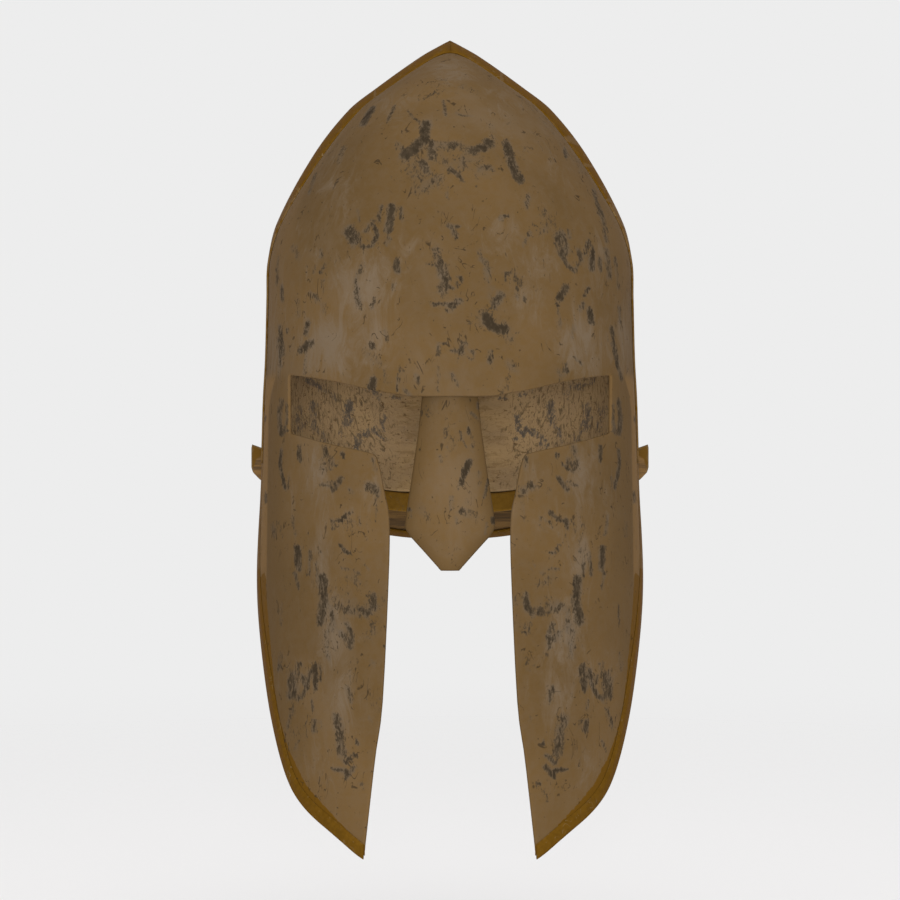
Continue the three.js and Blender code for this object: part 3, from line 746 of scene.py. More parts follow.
CHEEK_STROKES = strokes(
    (28, -196, 46, -199, 5.5, 0.42), (30, -206, 36, -212, 4.5, 0.36),
    # Beside the eye slots.
    (76.2, -108.5, 77.2, -116, 76.6, -122.5, 1.9, 0.9), (73.4, -110, 73.2, -118, 74.6, -123.5, 1.2, 0.8),
    (76.4, -124.4, 72.8, -122, 1.2, 0.8), (86, -116, 86.4, -118, 1.3, 0.8),
    # Down the cheek guards.
    (75.9, -130.5, 76.5, -138, 75.5, -142.5, 74, -148, 1.3, 0.95), (72, -142.5, 72.6, -149, 1.2, 0.6),
    (67, -129.8, 66.5, -135.5, 1.6, 0.95), (46.8, -132.5, 46.4, -133.7, 1.4, 1.1),
    (54.6, -130.5, 54.8, -139.5, 3.0, 0.62), (51.8, -135, 51.2, -137.2, 1.8, 0.8),
    (52.6, -140, 49, -137, 1.2, 0.95), (56, -146.2, 51.3, -145.5, 1.5, 0.85),
    (47.2, -143, 51, -148.5, 1.7, 1.05), (33, -134.5, 32.4, -139, 1.9, 0.65),
    (35, -146.5, 31.5, -148.5, 3.0, 0.85), (31.2, -151, 31.6, -162, 1.2, 0.6),
    (43.6, -148.6, 42.2, -149.4, 1.3, 0.65),
    (51.2, -165, 51, -161.4, 47.3, -161.4, 42.8, -157.6, 1.5, 0.95),
    (44.4, -166, 43.4, -162, 39, -160.4, 38.4, -163.2, 42, -166.6, 1.0, 0.55),
    (70.2, -160.5, 69.8, -164.5, 1.3, 0.65), (69.4, -165.5, 68.4, -169, 1.4, 0.65),
    (67.6, -174.5, 67, -183, 2.1, 1.1), (61.4, -175, 62, -186, 1.2, 0.85),
    (58.6, -180, 58, -187, 1.3, 0.8), (57.2, -173.5, 56.8, -176, 1.4, 0.65),
    (47.6, -172, 45.6, -175, 43.6, -175.6, 1.1, 0.95), (47.2, -182.6, 39.4, -183.6, 1.0, 0.8),
    (37.2, -180, 35, -182.8, 1.0, 0.6), (68.6, -185.5, 67, -192, 1.3, 0.8), (85, -151, 85, -155, 1.7, 0.8),
    (80.5, -165, 79.5, -170, 2.4, 0.55), (55.6, -187, 55, -197, 56.8, -206, 2.8, 1.0),
    (51.4, -200.5, 51, -209, 2.1, 0.75), (53.2, -210, 53, -221, 2.6, 0.58),
    (33, -193.8, 33, -198.6, 2.3, 1.0), (48, -199, 41, -201, 34.5, -200.5, 2.9, 0.7),
    (38.5, -200, 36, -201.5, 2.6, 0.85), (44.8, -206, 42.4, -211, 43.4, -216.5, 1.7, 0.9),
    (47, -210.5, 45, -213.4, 2.1, 0.85), (33.8, -206, 33.2, -209.5, 2.4, 0.6),
    (33.2, -221, 33.2, -224, 2.2, 0.5), (69.4, -231, 70.2, -240, 3.7, 0.85),
    (58.4, -225, 59, -236, 1.7, 1.05), (61, -227.5, 62.6, -235, 65.4, -240, 67.5, -241.4, 1.4, 0.95),
    (56.4, -226, 56.6, -232, 1.2, 0.85), (65, -230.6, 64.4, -233.5, 1.5, 0.85),
    (66, -225, 65.6, -226.2, 1.1, 0.95), (67.8, -225, 67.2, -228.5, 1.5, 0.6),
    (44.4, -233.5, 43, -239.6, 1.8, 0.85), (59.6, -249.5, 59.4, -254.2, 1.9, 0.9),
    (56.4, -249.5, 56.4, -252, 1.9, 0.58), (69.4, -245, 72.6, -255, 1.6, 0.68),
    (49.2, -247.5, 47.8, -254.5, 46.8, -262.5, 3.1, 0.85), (45.4, -266.4, 41.2, -262.4, 1.4, 1.0),
    (50.6, -269.9, 45.8, -269.5, 1.5, 1.05), (45, -272.4, 41, -267.6, 1.7, 1.05),
    (40.3, -256.8, 40, -258, 1.3, 1.1), (39, -274.6, 37.8, -275.6, 1.5, 0.7),
    (69, -264, 67, -259.5, 1.2, 0.65), (60.6, -241, 60, -245, 1.1, 0.75),
    (34.8, -245.5, 34.2, -248, 1.3, 0.6), (44, -186.5, 38, -189.5, 3.4, 0.5),
    (75.5, -200, 76, -210, 1.4, 0.6), (76, -222, 77, -230, 2.0, 0.55),
)

LINING_STROKES = strokes(
    (-52, -107, -52.5, -112, -53.5, -117, 3.4, 0.95),
    (-49, -129, -46.5, -123.6, -41, -120.6, -36, -119.4, -35, -114, 3.2, 0.85),
    (-41, -121, -36, -124, -32.5, -126, 1.3, 1.0), (-56, -121, -56.4, -130, 1.8, 0.85),
    (-76, -110, -75, -120, 3.2, 0.66), (-70, -108, -69, -120, 3.0, 0.78), (-72, -96, -66, -99, 2.4, 0.9),
    (-62, -98, -60, -104, 3.0, 0.6), (-66, -121, -64, -130, 2.4, 0.7), (-42, -99, -37, -103, 3.0, 0.7),
    (-30, -103, -26, -104, 2.0, 0.9),
)

NASAL_STROKES = strokes(
    (8.2, -136.2, 6.4, -140.6, 2.0, 1.3), (6.4, -140.6, 4.8, -145.4, 1.7, 1.1),
    (4.6, -145, 3.8, -147.6, 1.0, 0.8), (0.7, -151, 0.5, -156.4, 1.0, 0.95),
    (16.4, -144, 14.8, -151.4, 1.0, 0.85), (12.6, -141, 12.6, -146, 1.6, 0.5),
    (18.4, -160.6, 18.6, -162.4, 1.3, 1.0), (15.7, -162.6, 15, -167, 1.1, 0.85),
    (-18.6, -156.4, -16.8, -157, 1.2, 0.85), (-17, -158.5, -16.6, -160, 1.0, 0.6),
    (4.4, -123, 5, -126, 7, -129.5, 0.9, 0.7), (8, -121.5, 8.2, -124, 1.0, 0.95),
    (9.4, -126, 9.8, -131, 1.8, 0.48), (9.2, -115, 12, -117.2, 1.1, 0.7), (12, -110.5, 12, -113, 0.9, 0.8),
    (-4.6, -133.5, -3.6, -136, 1.2, 0.6), (-1.4, -129.6, -0.4, -131.4, 1.2, 0.55),
    (-13, -156, -9, -160, 3.4, 0.5), (5, -157, 11, -159, 3.6, 0.52), (7, -152.4, 7.2, -154.2, 1.1, 0.7),
    (2.2, -159.6, 2.8, -162, 1.1, 0.7),
)

FOREHEAD_HAZE = hazes(
    (0, 42, 12, 9, 0.8), (-24, 26, 12, 12, 0.55), (24, 24, 16, 14, 0.5), (-52, -12, 9, 22, 0.55),
    (-38, -60, 14, 16, 0.95), (-54, -86, 16, 14, 1.0), (-34, -82, 10, 12, 0.85), (-62, -40, 9, 14, 0.4),
    (38, -50, 10, 9, 0.55), (26, -36, 12, 9, 0.5), (34, -66, 10, 9, 0.6), (58, -84, 12, 14, 0.95),
    (66, -48, 8, 20, 0.5), (-18, -44, 8, 7, 0.4), (46, -6, 12, 16, 0.4), (80, -80, 5, 22, 0.8),
    (-80, -84, 5, 24, 0.8),
)

CROWN_BREAKS = hazes(
    (60.5, 16.8, 7.0, 2.0, 0.5), (24.5, 48.0, 0.7, 6.0, 0.4), (-36.0, 39.0, 0.7, 6.0, 0.4),
    (68.0, 4.8, 6.0, 0.7, 0.4),
)

CHEEK_HAZE = hazes(
    (58, -143, 7, 16, 0.8), (56, -176, 6, 20, 0.75), (50, -212, 7, 16, 1.0), (47, -238, 7, 14, 0.7),
    (66, -232, 8, 10, 0.5), (34, -146, 6, 8, 0.6), (70, -152, 4, 14, 0.4), (58, -268, 10, 9, 0.4),
    (43, -160, 6, 8, 0.3),
)


STROKE_FADE = (0.15, 1.45)
STROKE_REACH = 2.2


def stroke_density(places: Array, strokes: Sequence[Stroke]) -> Array:
    """How thickly dark marks gather at places, from strokes with paths of the same kind.

    Args:
        places: An array of places, with as many columns as the strokes' paths.
        strokes: The strokes.

    Returns:
        A value for each place, 0 where there are none.
    """
    total = np.zeros(len(places))
    for stroke in strokes:
        path = np.array(stroke.path, float)
        reach = STROKE_REACH * stroke.width
        low, high = path.min(axis=0) - reach, path.max(axis=0) + reach
        near = np.flatnonzero(np.all((places > low) & (places < high), axis=1))
        if not len(near):
            continue
        here = places[near]
        gap = np.full(len(near), np.inf)
        for a, b in zip(path[:-1], path[1:]):
            edge = b - a
            share = np.clip(((here - a) @ edge) / max(float(edge @ edge), 1e-9), 0, 1)
            gap = np.minimum(gap, np.linalg.norm(here - (a + share[:, None] * edge), axis=1))
        value = stroke.strength * (1 - smoothstep(*STROKE_FADE, gap / stroke.width))
        total[near] = np.maximum(total[near], value)
    return total


def haze_density(places: Array, patches: Sequence[Haze]) -> Array:
    """How pale the metal is at places seen from the front.

    Args:
        places: An array of places across and up.
        patches: The pale patches.

    Returns:
        A value for each place, 0 where there are none.
    """
    total = np.zeros(len(places))
    for patch in patches:
        gap = (places - (patch.across, patch.height)) / (patch.wide, patch.tall)
        total = np.maximum(total, patch.strength * np.exp(-0.7 * np.sum(gap**2, axis=1)))
    return total


def scattered_strokes(count: int, seed: int, angles: Pair, downs: Pair) -> list[Stroke]:
    """Strokes scattered over a part of the bowl, with paths in space.

    Args:
        count: How many there are.
        seed: Which pattern.
        angles: The first and last angle round the bowl.
        downs: The first and last place down it.

    Returns:
        The strokes.
    """
    rng = np.random.default_rng(seed)
    strokes = []
    for _ in range(count):
        angle, down = rng.uniform(*angles), rng.uniform(*downs)
        length = rng.uniform(2, 11)
        lean = rng.uniform(-0.5, 0.5) if rng.random() < 0.75 else rng.uniform(-1.4, 1.4)
        bend = rng.uniform(-0.5, 0.5)
        steps = np.linspace(-0.5, 0.5, 4) * length
        turn = lean + bend * np.linspace(-1, 1, 4)
        over, fall = steps * np.sin(turn), steps * np.cos(turn)
        path = BOWL.point(angle + over / 1.9, np.clip(down + fall / 390, 0.01, 0.99))
        crusty = rng.random() < 0.3
        width = rng.uniform(2.6, 5.0) if crusty else rng.uniform(1.2, 3.0)
        strength = rng.uniform(0.5, 0.65) if crusty else rng.uniform(0.75, 1.1)
        strokes.append(Stroke(tuple(tuple(point) for point in path.tolist()), width, strength))
    return strokes


# ---- Shader graphs ----


class Value:
    """A number or a colour that changes over the surface, reckoned with as plain arithmetic."""

    def __init__(self, graph: Graph, socket: bpy.types.NodeSocket) -> None:
        """Keeps the graph and the socket that puts the value out."""
        self.graph, self.socket = graph, socket

    def __add__(self, other: Number) -> Value:
        """The sum of two values."""
        return self.graph.maths("ADD", self, other)

    def __sub__(self, other: Number) -> Value:
        """This value less another."""
        return self.graph.maths("SUBTRACT", self, other)

    def __rsub__(self, other: float) -> Value:
        """A plain number less this value."""
        return self.graph.maths("SUBTRACT", other, self)

    def __mul__(self, other: Number) -> Value:
        """The product of two values."""
        return self.graph.maths("MULTIPLY", self, other)

    def most(self, other: Number) -> Value:
        """The larger of two values."""
        return self.graph.maths("MAXIMUM", self, other)

    def ramp(self, low: float, high: float) -> Value:
        """0 under low and 1 over high, or the other way round, with a smooth step between."""
        inputs = {"Value": self, "From Min": low, "From Max": high, "To Min": 0.0, "To Max": 1.0}
        return self.graph.out(self.graph.node("MapRange", inputs, interpolation_type="SMOOTHSTEP"))


Number = Value | float


class Graph:
    """A short way to write a node graph, with its patterns read at one place."""

    at: Value

    def __init__(self, tree: bpy.types.NodeTree) -> None:
        """Starts with an empty tree."""
        self.tree = tree
        tree.nodes.clear()

    def node(self, kind: str, inputs: dict | None = None, **settings: object) -> bpy.types.Node:
        """Adds a node.

        Args:
            kind: Its type, without the ShaderNode that starts each.
            inputs: Values for its sockets, by name or number.
            **settings: Its properties.

        Returns:
            The node.
        """
        made = self.tree.nodes.new(f"ShaderNode{kind}")
        for key, value in settings.items():
            setattr(made, key, value)
        self.feed(made, inputs or {})
        return made

    def feed(self, node: bpy.types.Node, inputs: dict) -> None:
        """Links a node's sockets or sets their values.

        Args:
            node: The node.
            inputs: Its values, links and plain ones, by the name or number of the socket.
        """
        for key, value in inputs.items():
            socket = node.inputs[key]
            if isinstance(value, Value):
                self.tree.links.new(value.socket, socket)
            elif isinstance(value, tuple) and socket.type == "RGBA":
                socket.default_value = (*value, 1.0)
            else:
                socket.default_value = value

    def out(self, node: bpy.types.Node, socket: str | int = 0) -> Value:
        """The value that a node puts out."""
        return Value(self, node.outputs[socket])

    def maths(self, operation: str, first: Number, second: Number = 0.0, clamp: bool = False) -> Value:
        """One sum of two values."""
        return self.out(self.node("Math", {0: first, 1: second}, operation=operation, use_clamp=clamp))

    def noise(
        self, scale: Number, detail: float = 4, rough: float = 0.5, warp: float = 0.0,
        offset: Sequence[float] | None = None, stretch: Sequence[float] | None = None,
    ) -> Value:
        """A noise value.

        Args:
            scale: Its scale.
            detail: Its octaves.
            rough: How strong the fine octaves are.
            warp: Its own distortion.
            offset: Moves the pattern.
            stretch: Scales the pattern along each axis first.

        Returns:
            The value, about 0.5 on average.
        """
        vector = self.at
        if offset is not None or stretch is not None:
            inputs = {"Vector": vector, "Location": offset or (0, 0, 0), "Scale": stretch or (1, 1, 1)}
            vector = self.out(self.node("Mapping", inputs))
        inputs = {"Vector": vector, "Scale": scale, "Detail": detail, "Roughness": rough}
        return self.out(self.node("TexNoise", {**inputs, "Distortion": warp}), "Fac")

    def mix(self, share: Number, first: Value | Colour, second: Value | Colour) -> Value:
        """A mix of two colours."""
        return self.out(self.node("Mix", {0: share, 6: first, 7: second}, data_type="RGBA"), 2)


class Effect(Graph):
    """A shader node group with named sockets, whose patterns are read at its vector."""

    def __init__(self, name: str, inputs: dict[str, float], outputs: Sequence[str]) -> None:
        """Makes the group with its sockets.

        Args:
            name: The group's name.
            inputs: The starting value of each input besides the vector, by name.
            outputs: Each output's name.
        """
        super().__init__(bpy.data.node_groups.new(name, "ShaderNodeTree"))
        sockets = self.tree.interface
        sockets.new_socket("Vector", in_out="INPUT", socket_type="NodeSocketVector")
        for label, value in inputs.items():
            sockets.new_socket(label, in_out="INPUT", socket_type="NodeSocketFloat").default_value = value
        for label in outputs:
            sockets.new_socket(label, in_out="OUTPUT", socket_type="NodeSocketFloat")
        self.source = self.tree.nodes.new("NodeGroupInput")
        self.sink = self.tree.nodes.new("NodeGroupOutput")
        self.at = self.out(self.source, "Vector")


class Effects:
    """The effects that several finishes share, each a node group built once."""

    def __init__(self) -> None:
        """Builds every group."""
        self.clouds = self._clouds()
        self.scuffs = self._scuffs()
        self.scratches = self._scratches()
        self.wear = self._wear()

    @staticmethod
    def _clouds() -> Effect:
        """Soft light patches with broken edges, and fine mottling.

        Returns:
            The group.
        """
        group = Effect("soft_clouds", {"Scale": 1}, ("Mask", "Mottle"))
        scale = group.out(group.source, "Scale")
        large = group.noise(scale * 13, 3, 0.55, 0.6, stretch=(1, 1, 0.7))
        torn = group.noise(scale * 70, 6, 0.7, 0.4, stretch=(1, 1, 0.55))
        mask = (large + (torn - 0.5) * 0.45).ramp(0.5, 0.72)
        group.feed(group.sink, {"Mask": mask, "Mottle": group.noise(scale * 240, 5, 0.7, 0.2)})
        return group

    @staticmethod
    def _scuffs() -> Effect:
        """Ragged dark marks where the density is high, with specks round them, and rare ones elsewhere.

        Returns:
            The group.
        """
        group = Effect("ragged_scuffs", {"Density": 0, "Spread": 0.2}, ("Mask", "Core", "Halo"))
        density = group.out(group.source, "Density")
        ragged = group.noise(360, 6, 0.74, 1.1, stretch=(1, 1, 0.45))
        flecks = group.noise(1100, 4, 0.7, 0.9, offset=(3, 1, 7), stretch=(1, 1, 0.5))
        patches = group.noise(34, 4, 0.6, 1.0, offset=(9, 4, 2)).ramp(0.52, 0.76)
        gathered = density.most(patches * group.out(group.source, "Spread"))
        over = ragged * 0.6 + flecks * 0.4 + gathered * 0.22
        soft = group.noise(210, 3, 0.55, 0.4) * 1.5 + 0.15
        cloudy = (group.noise(120, 5, 0.65, 0.6) - 0.5) * 1.6
        group.feed(group.sink, {
            "Mask": group.maths("MULTIPLY", over.ramp(0.628, 0.672), soft, clamp=True),
            "Core": over.ramp(0.66, 0.74),
            "Halo": (density + cloudy).ramp(0.2, 1.1),
        })
        return group

    @staticmethod
    def _scratches() -> Effect:
        """Thin scribbled scratches: short stretches of the level lines of a warped noise.

        Returns:
            The group.
        """
        group = Effect("scribbled_scratches", {"Scale": 1, "Amount": 0.5}, ("Mask", "Dots"))
        scale, amount = group.out(group.source, "Scale"), group.out(group.source, "Amount")
        curl = group.noise(scale * 75, 2, 0.5, 2.2, offset=(5, 5, 1), stretch=(1, 1, 0.6))
        line = group.maths("ABSOLUTE", curl - 0.5).ramp(0.02, 0.006)
        gate = group.noise(scale * 95, 3, 0.6, 0.5, offset=(2, 8, 3))
        shown = (gate - (0.74 - amount * 0.22)).ramp(0.0, 0.06)
        specks = group.noise(scale * 430, 2, 0.6, 0.6, offset=(1, 9, 6))
        rare = group.noise(scale * 60, 2, 0.5, 0.3).ramp(0.35, 0.6)
        dots = (specks + rare * 0.045).ramp(0.725, 0.775)
        group.feed(group.sink, {"Mask": line * shown, "Dots": dots})
        return group

    @staticmethod
    def _wear() -> Effect:
        """Wear that gathers at an edge and breaks up away from it.

        Returns:
            The group.
        """
        group = Effect("edge_wear", {"Nearness": 0, "Amount": 0.5}, ("Mask",))
        pull = group.out(group.source, "Nearness") * group.out(group.source, "Amount")
        group.feed(group.sink, {"Mask": (group.noise(150, 6, 0.7, 0.6) + pull).ramp(0.68, 0.88)})
        return group


SHINE = srgb(190, 150, 100)


class Surface(Graph):
    """What every finish starts from: its material, its shader and the colours laid so far."""

    colour: Value

    def __init__(self, name: str, metallic: float, specular: float) -> None:
        """Makes an empty material, with its constants set on the shader's own sockets.

        Args:
            name: The material's name.
            metallic: How metallic it is.
            specular: How strongly it shines.
        """
        self.material = bpy.data.materials.new(name)
        self.material.use_nodes = True
        super().__init__(self.material.node_tree)
        inputs = {"Metallic": metallic, "Specular IOR Level": specular, "Specular Tint": SHINE}
        self.shader = self.node("BsdfPrincipled", inputs)
        self.node("OutputMaterial", {"Surface": self.out(self.shader)})
        self.at = self.out(self.node("TexCoord"), "Object")

    def mask(self, name: str) -> Value:
        """A value that the mesh carries at its points."""
        return self.out(self.node("Attribute", attribute_name=name, attribute_type="GEOMETRY"), "Fac")

    def effect(self, effect: Effect, **inputs: Number) -> dict[str, Value]:
        """Places a shared effect in this material.

        Args:
            effect: The effect.
            **inputs: Its values, by the names of its sockets.

        Returns:
            The values that it puts out, by name.
        """
        made = self.node("Group", node_tree=effect.tree)
        self.feed(made, {"Vector": self.at, **inputs})
        return {socket.name: Value(self, socket) for socket in made.outputs}

    def start(self, share: Number, first: Value | Colour, second: Value | Colour) -> None:
        """Starts with a mix of two colours."""
        self.colour = self.mix(share, first, second)

    def lay(self, colour: Colour, share: Value, strength: Number = 1.0) -> None:
        """Lays a colour over those so far, by a share and how strong it is at most."""
        self.start(share if strength == 1.0 else share * strength, self.colour, colour)

    def done(self, rough: Value, height: Value, strength: float, depth: float) -> Material:
        """Feeds the colour, the roughness and the relief to the shader.

        Args:
            rough: How rough the surface is.
            height: How high it stands.
            strength: How strongly the height shows.
            depth: How deep a height of 1 is, in metres.

        Returns:
            The material.
        """
        relief = self.node("Bump", {"Height": height, "Strength": strength, "Distance": depth})
        self.feed(self.shader, {"Base Color": self.colour, "Roughness": rough, "Normal": self.out(relief)})
        return self.material


@dataclass(frozen=True)
class AgedBronze:
    """Matte tan bronze with pale haze, dark ragged scuffs and scribbled scratches, and painted light and
    shade along the side creases and edges.
    """

    name: str = "aged_bronze"
    tan: Colour = srgb(98, 76, 47)
    # deep is both the darker tone of the bronze and the colour of the painted shade.
    deep: Colour = srgb(88, 68, 41)
    pale: Colour = srgb(107, 93, 77)
    # The colour of the painted light on the flanks and the painted highlight along the edges.
    painted_light: Colour = srgb(112, 86, 52)
    ochre: Colour = srgb(92, 64, 16)
    scuff: Colour = srgb(46, 38, 28)
    ash: Colour = srgb(66, 56, 43)
    smoke: Colour = srgb(84, 77, 68)
    roughness: float = 0.73
    spread: float = 0.62
    scratching: float = 0.8

    def build(self, effects: Effects) -> Material:
        """Builds the material.

        Args:
            effects: The shared effects.

        Returns:
            The material.
        """
        coat = Surface(self.name, metallic=0.2, specular=0.06)
        clouds = coat.effect(effects.clouds, Scale=1.0)
        scuffs = coat.effect(effects.scuffs, Density=coat.mask("scuff"), Spread=self.spread)
        scratches = coat.effect(effects.scratches, Scale=1.0, Amount=self.scratching)
        broad = coat.noise(11, 3, 0.5, 0.3, offset=(1, 2, 3))
        mottle = clouds["Mottle"].ramp(0.36, 0.66)
        torn = coat.noise(110, 7, 0.78, 0.9, offset=(4, 7, 1), stretch=(1, 1, 0.42))
        haze = (coat.mask("haze") * 0.36 + torn).ramp(0.56, 0.94)
        chipped = (coat.mask("ochre") + coat.noise(240, 5, 0.7, 0.5)).ramp(0.98, 1.06)
        edge_highlight = (coat.mask("edge") + coat.noise(160, 4, 0.6)).ramp(1.1, 1.5)
        dots = scratches["Mask"].most(scratches["Dots"])
        coat.start(broad.ramp(0.35, 0.65), self.deep, self.tan)
        coat.lay(self.pale, mottle, 0.14)
        coat.lay(self.pale, haze.most(clouds["Mask"] * 0.4), 0.74)
        # Painted shade, inside the side creases of the front shell and toward the nose guard's sides.
        coat.lay(self.deep, coat.mask("shade"), 0.75)
        # Painted light on the flanks outside the side creases.
        coat.lay(self.painted_light, coat.mask("flank"), 0.9)
        coat.lay(self.ochre, chipped)
        # Painted highlight along the edges, as strong as each piece's mask allows.
        coat.lay(self.painted_light, edge_highlight, coat.mask("bright_lip"))
        coat.lay(self.smoke, scuffs["Halo"], 0.5)
        coat.lay(self.scuff, dots, 0.7)
        coat.lay(self.ash, scuffs["Mask"], 0.9)
        coat.lay(self.scuff, scuffs["Core"] * scuffs["Mask"], 0.8)
        marks = scuffs["Mask"].most(dots)
        rough = coat.maths("ADD", mottle * 0.1 + self.roughness, marks * 0.15, clamp=True)
        return coat.done(rough, marks * -0.8 + clouds["Mottle"] * 0.3, 0.25, 0.0004)


@dataclass(frozen=True)
class WornOchre:
    """Ochre edging, rubbed to the tan bronze in streaks and nicked along its borders."""

    name: str = "worn_ochre"
    ochre: Colour = srgb(94, 66, 17)
    dark: Colour = srgb(85, 59, 14)
    bare: Colour = srgb(98, 76, 47)
    nick: Colour = srgb(118, 98, 68)

    def build(self, effects: Effects) -> Material:
        """Builds the material.

        Args:
            effects: The shared effects.

        Returns:
            The material.
        """
        coat = Surface(self.name, metallic=0.3, specular=0.04)
        clouds = coat.effect(effects.clouds, Scale=1.7)
        scratches = coat.effect(effects.scratches, Scale=1.6, Amount=0.75)
        wear = coat.effect(effects.wear, Nearness=coat.mask("edge"), Amount=0.2)
        rubbed = (coat.mask("rub") + coat.noise(200, 5, 0.7, 0.6)).ramp(0.9, 1.0)
        shade = clouds["Mottle"].ramp(0.35, 0.65)
        smear = coat.noise(170, 6, 0.75, 0.5, offset=(6, 2, 8)).ramp(0.58, 0.7)
        coat.start(shade, self.dark, self.ochre)
        coat.lay(self.nick, smear, 0.4)
        coat.lay(self.bare, rubbed, 0.9)
        coat.lay(self.bare, wear["Mask"], 0.5)
        coat.lay(self.nick, scratches["Mask"], 0.6)
        sunk = rubbed.most(scratches["Mask"]) * -1.0
        return coat.done(shade * 0.16 + 0.46, sunk + clouds["Mottle"] * 0.4, 0.3, 0.0005)


@dataclass(frozen=True)
class RoughHide:
    """Rough speckled hide, pale in the middle and with dark fibrous patches to the sides."""

    name: str = "rough_hide"
    pale: Colour = srgb(172, 143, 101)
    mid: Colour = srgb(153, 128, 95)
    brown: Colour = srgb(122, 97, 64)
    dark: Colour = srgb(82, 72, 58)
    ash: Colour = srgb(92, 87, 82)
    speck: Colour = srgb(88, 66, 46)

    def build(self, effects: Effects) -> Material:
        """Builds the material.

        Args:
            effects: The shared effects.

        Returns:
            The material.
        """
        coat = Surface(self.name, metallic=0.0, specular=0.05)
        side = coat.mask("side")
        patches = coat.effect(effects.scuffs, Density=coat.mask("scuff"), Spread=0.3)
        broad = coat.noise(40, 4, 0.6, 0.5)
        grain = coat.noise(260, 5, 0.7, 0.7, stretch=(0.45, 0.45, 1.5))
        upright = coat.noise(300, 5, 0.75, 1.2, stretch=(1.3, 1.3, 0.6))
        flecks = coat.noise(520, 3, 0.6, 0.5, stretch=(0.7, 0.7, 1.2))
        shade = coat.mix(side, grain, upright)
        coat.start(broad.ramp(0.35, 0.65), self.mid, self.pale)
        coat.lay(self.mid, side, 0.6)
        coat.lay(self.brown, shade.ramp(0.47, 0.62), 0.5)
        coat.lay(self.dark, (upright + side * 0.1).ramp(0.6, 0.72), 0.7)
        coat.lay(self.speck, flecks.ramp(0.61, 0.67), 0.7)
        coat.lay(self.pale, coat.noise(800, 3, 0.6).ramp(0.56, 0.68), 0.35)
        coat.lay(self.ash, patches["Mask"], 0.85)
        coat.lay(self.dark, patches["Core"] * patches["Mask"], 0.6)
        return coat.done(flecks * 0.2 + 0.75, shade + flecks, 0.35, 0.0006)


@dataclass(frozen=True)
class StreakedBronze:
    """Brown bronze with dark streaks that run round the helmet, as on the neck guard."""

    name: str = "streaked_bronze"
    tan: Colour = srgb(98, 76, 47)
    brown: Colour = srgb(108, 82, 49)
    streak: Colour = srgb(72, 56, 38)
    pale: Colour = srgb(112, 96, 73)
    ochre: Colour = srgb(84, 60, 22)

    def build(self, effects: Effects) -> Material:
        """Builds the material.

        Args:
            effects: The shared effects.

        Returns:
            The material.
        """
        coat = Surface(self.name, metallic=0.2, specular=0.06)
        clouds = coat.effect(effects.clouds, Scale=1.2)
        scuffs = coat.effect(effects.scuffs, Density=coat.mask("scuff"), Spread=0.4)
        scratches = coat.effect(effects.scratches, Scale=1.3, Amount=0.6)
        wear = coat.effect(effects.wear, Nearness=coat.mask("edge"), Amount=0.4)
        run = coat.noise(60, 6, 0.7, 0.3, stretch=(0.35, 0.35, 7))
        streaked = coat.mix(run.ramp(0.38, 0.6), self.streak, self.brown)
        plain = coat.mix(clouds["Mask"] * 0.5, self.tan, self.pale)
        coat.start(coat.mask("inside"), plain, streaked)
        coat.lay(self.ochre, coat.mask("ochre"))
        coat.lay(self.streak, scratches["Mask"], 0.5)
        coat.lay(self.streak, scuffs["Mask"], 0.75)
        coat.lay(self.pale, wear["Mask"], 0.4)
        return coat.done(run * 0.2 + 0.5, run + scuffs["Mask"] * -1.0, 0.35, 0.0006)


# ---- Sizes and edges ----

SHEET = 1.8
GAP = 0.3
SEAT = 0.12
FAR = 400.0
TIP = -307.0
NAPE_DEPTH = 99.0
NAPE_HEIGHT = -164.0
EAR_HEIGHT = -135.0
LINING_ABOVE = 10.5
BAND_HEIGHT = 10.2
EDGE_LEVELS = (0.13, 0.45, 0.9)

BROW_MIDDLE = (12.0, -107.9)
BROW_EDGE = ((18.8, -107.7), (35.8, -104.6), (52.7, -100.6), (72.7, -97.2))
SLOT_SILL = ((72.3, -123.4), (52.7, -128.4), (38.0, -131.4), (32.3, -133.0))
CHEEK_FRONT = (
    (30.5, -138.8), (28.3, -150.0), (26.4, -160.0), (26.5, -182.7), (29.2, -239.0), (32.6, -264.0),
    (37.2, -303.5),
)
CHEEK_REAR = (
    (-0.2, -136.0), (-5.0, -160.0), (-26.0, -191.0), (-48.2, -224.3),
    (-64.4, -252.3), (-82.4, -279.8), (-103.0, -296.5), (-111.5, -306.5),
)
# Where the ochre on a cheek guard starts: a height and how far across.
PAINTED_FROM = (
    (-186.0, 85.2), (-190.5, 84.3), (-199.6, 83.8), (-217.5, 81.7), (-235.0, 79.8), (-247.7, 77.6),
    (-257.0, 74.8), (-267.0, 70.5), (-279.0, 62.9), (-294.9, 45.6), (-299.2, 40.4), (-304.0, 34.0),
)


def rear_edge(depth: Array) -> Array:
    """The height of the rear shell's lower edge at depths behind the ears."""
    share = np.clip(np.asarray(depth, float) / NAPE_DEPTH, 0, 1) ** 1.5
    return EAR_HEIGHT + (NAPE_HEIGHT - EAR_HEIGHT) * share


def rear_run(start: float, raised: float) -> Array:
    """Points along the rear shell's lower edge, raised by an amount, from one depth to the back."""
    depths = np.linspace(start, NAPE_DEPTH, 24)
    return np.stack([depths, rear_edge(depths) + raised], 1)


def face_opening() -> Outline:
    """The opening for the eyes and the face: a T that is open at the bottom.

    Returns:
        The outline, seen from the front.
    """
    half = rounded(np.vstack([
        [BROW_MIDDLE], through(BROW_EDGE, 14), through(SLOT_SILL, 10), through(CHEEK_FRONT, 22),
        [(CHEEK_FRONT[-1][0], -FAR)],
    ]), 1.0)
    return Outline(np.vstack([half, (half * [-1, 1])[::-1]]), closed=True, keep_left=False)


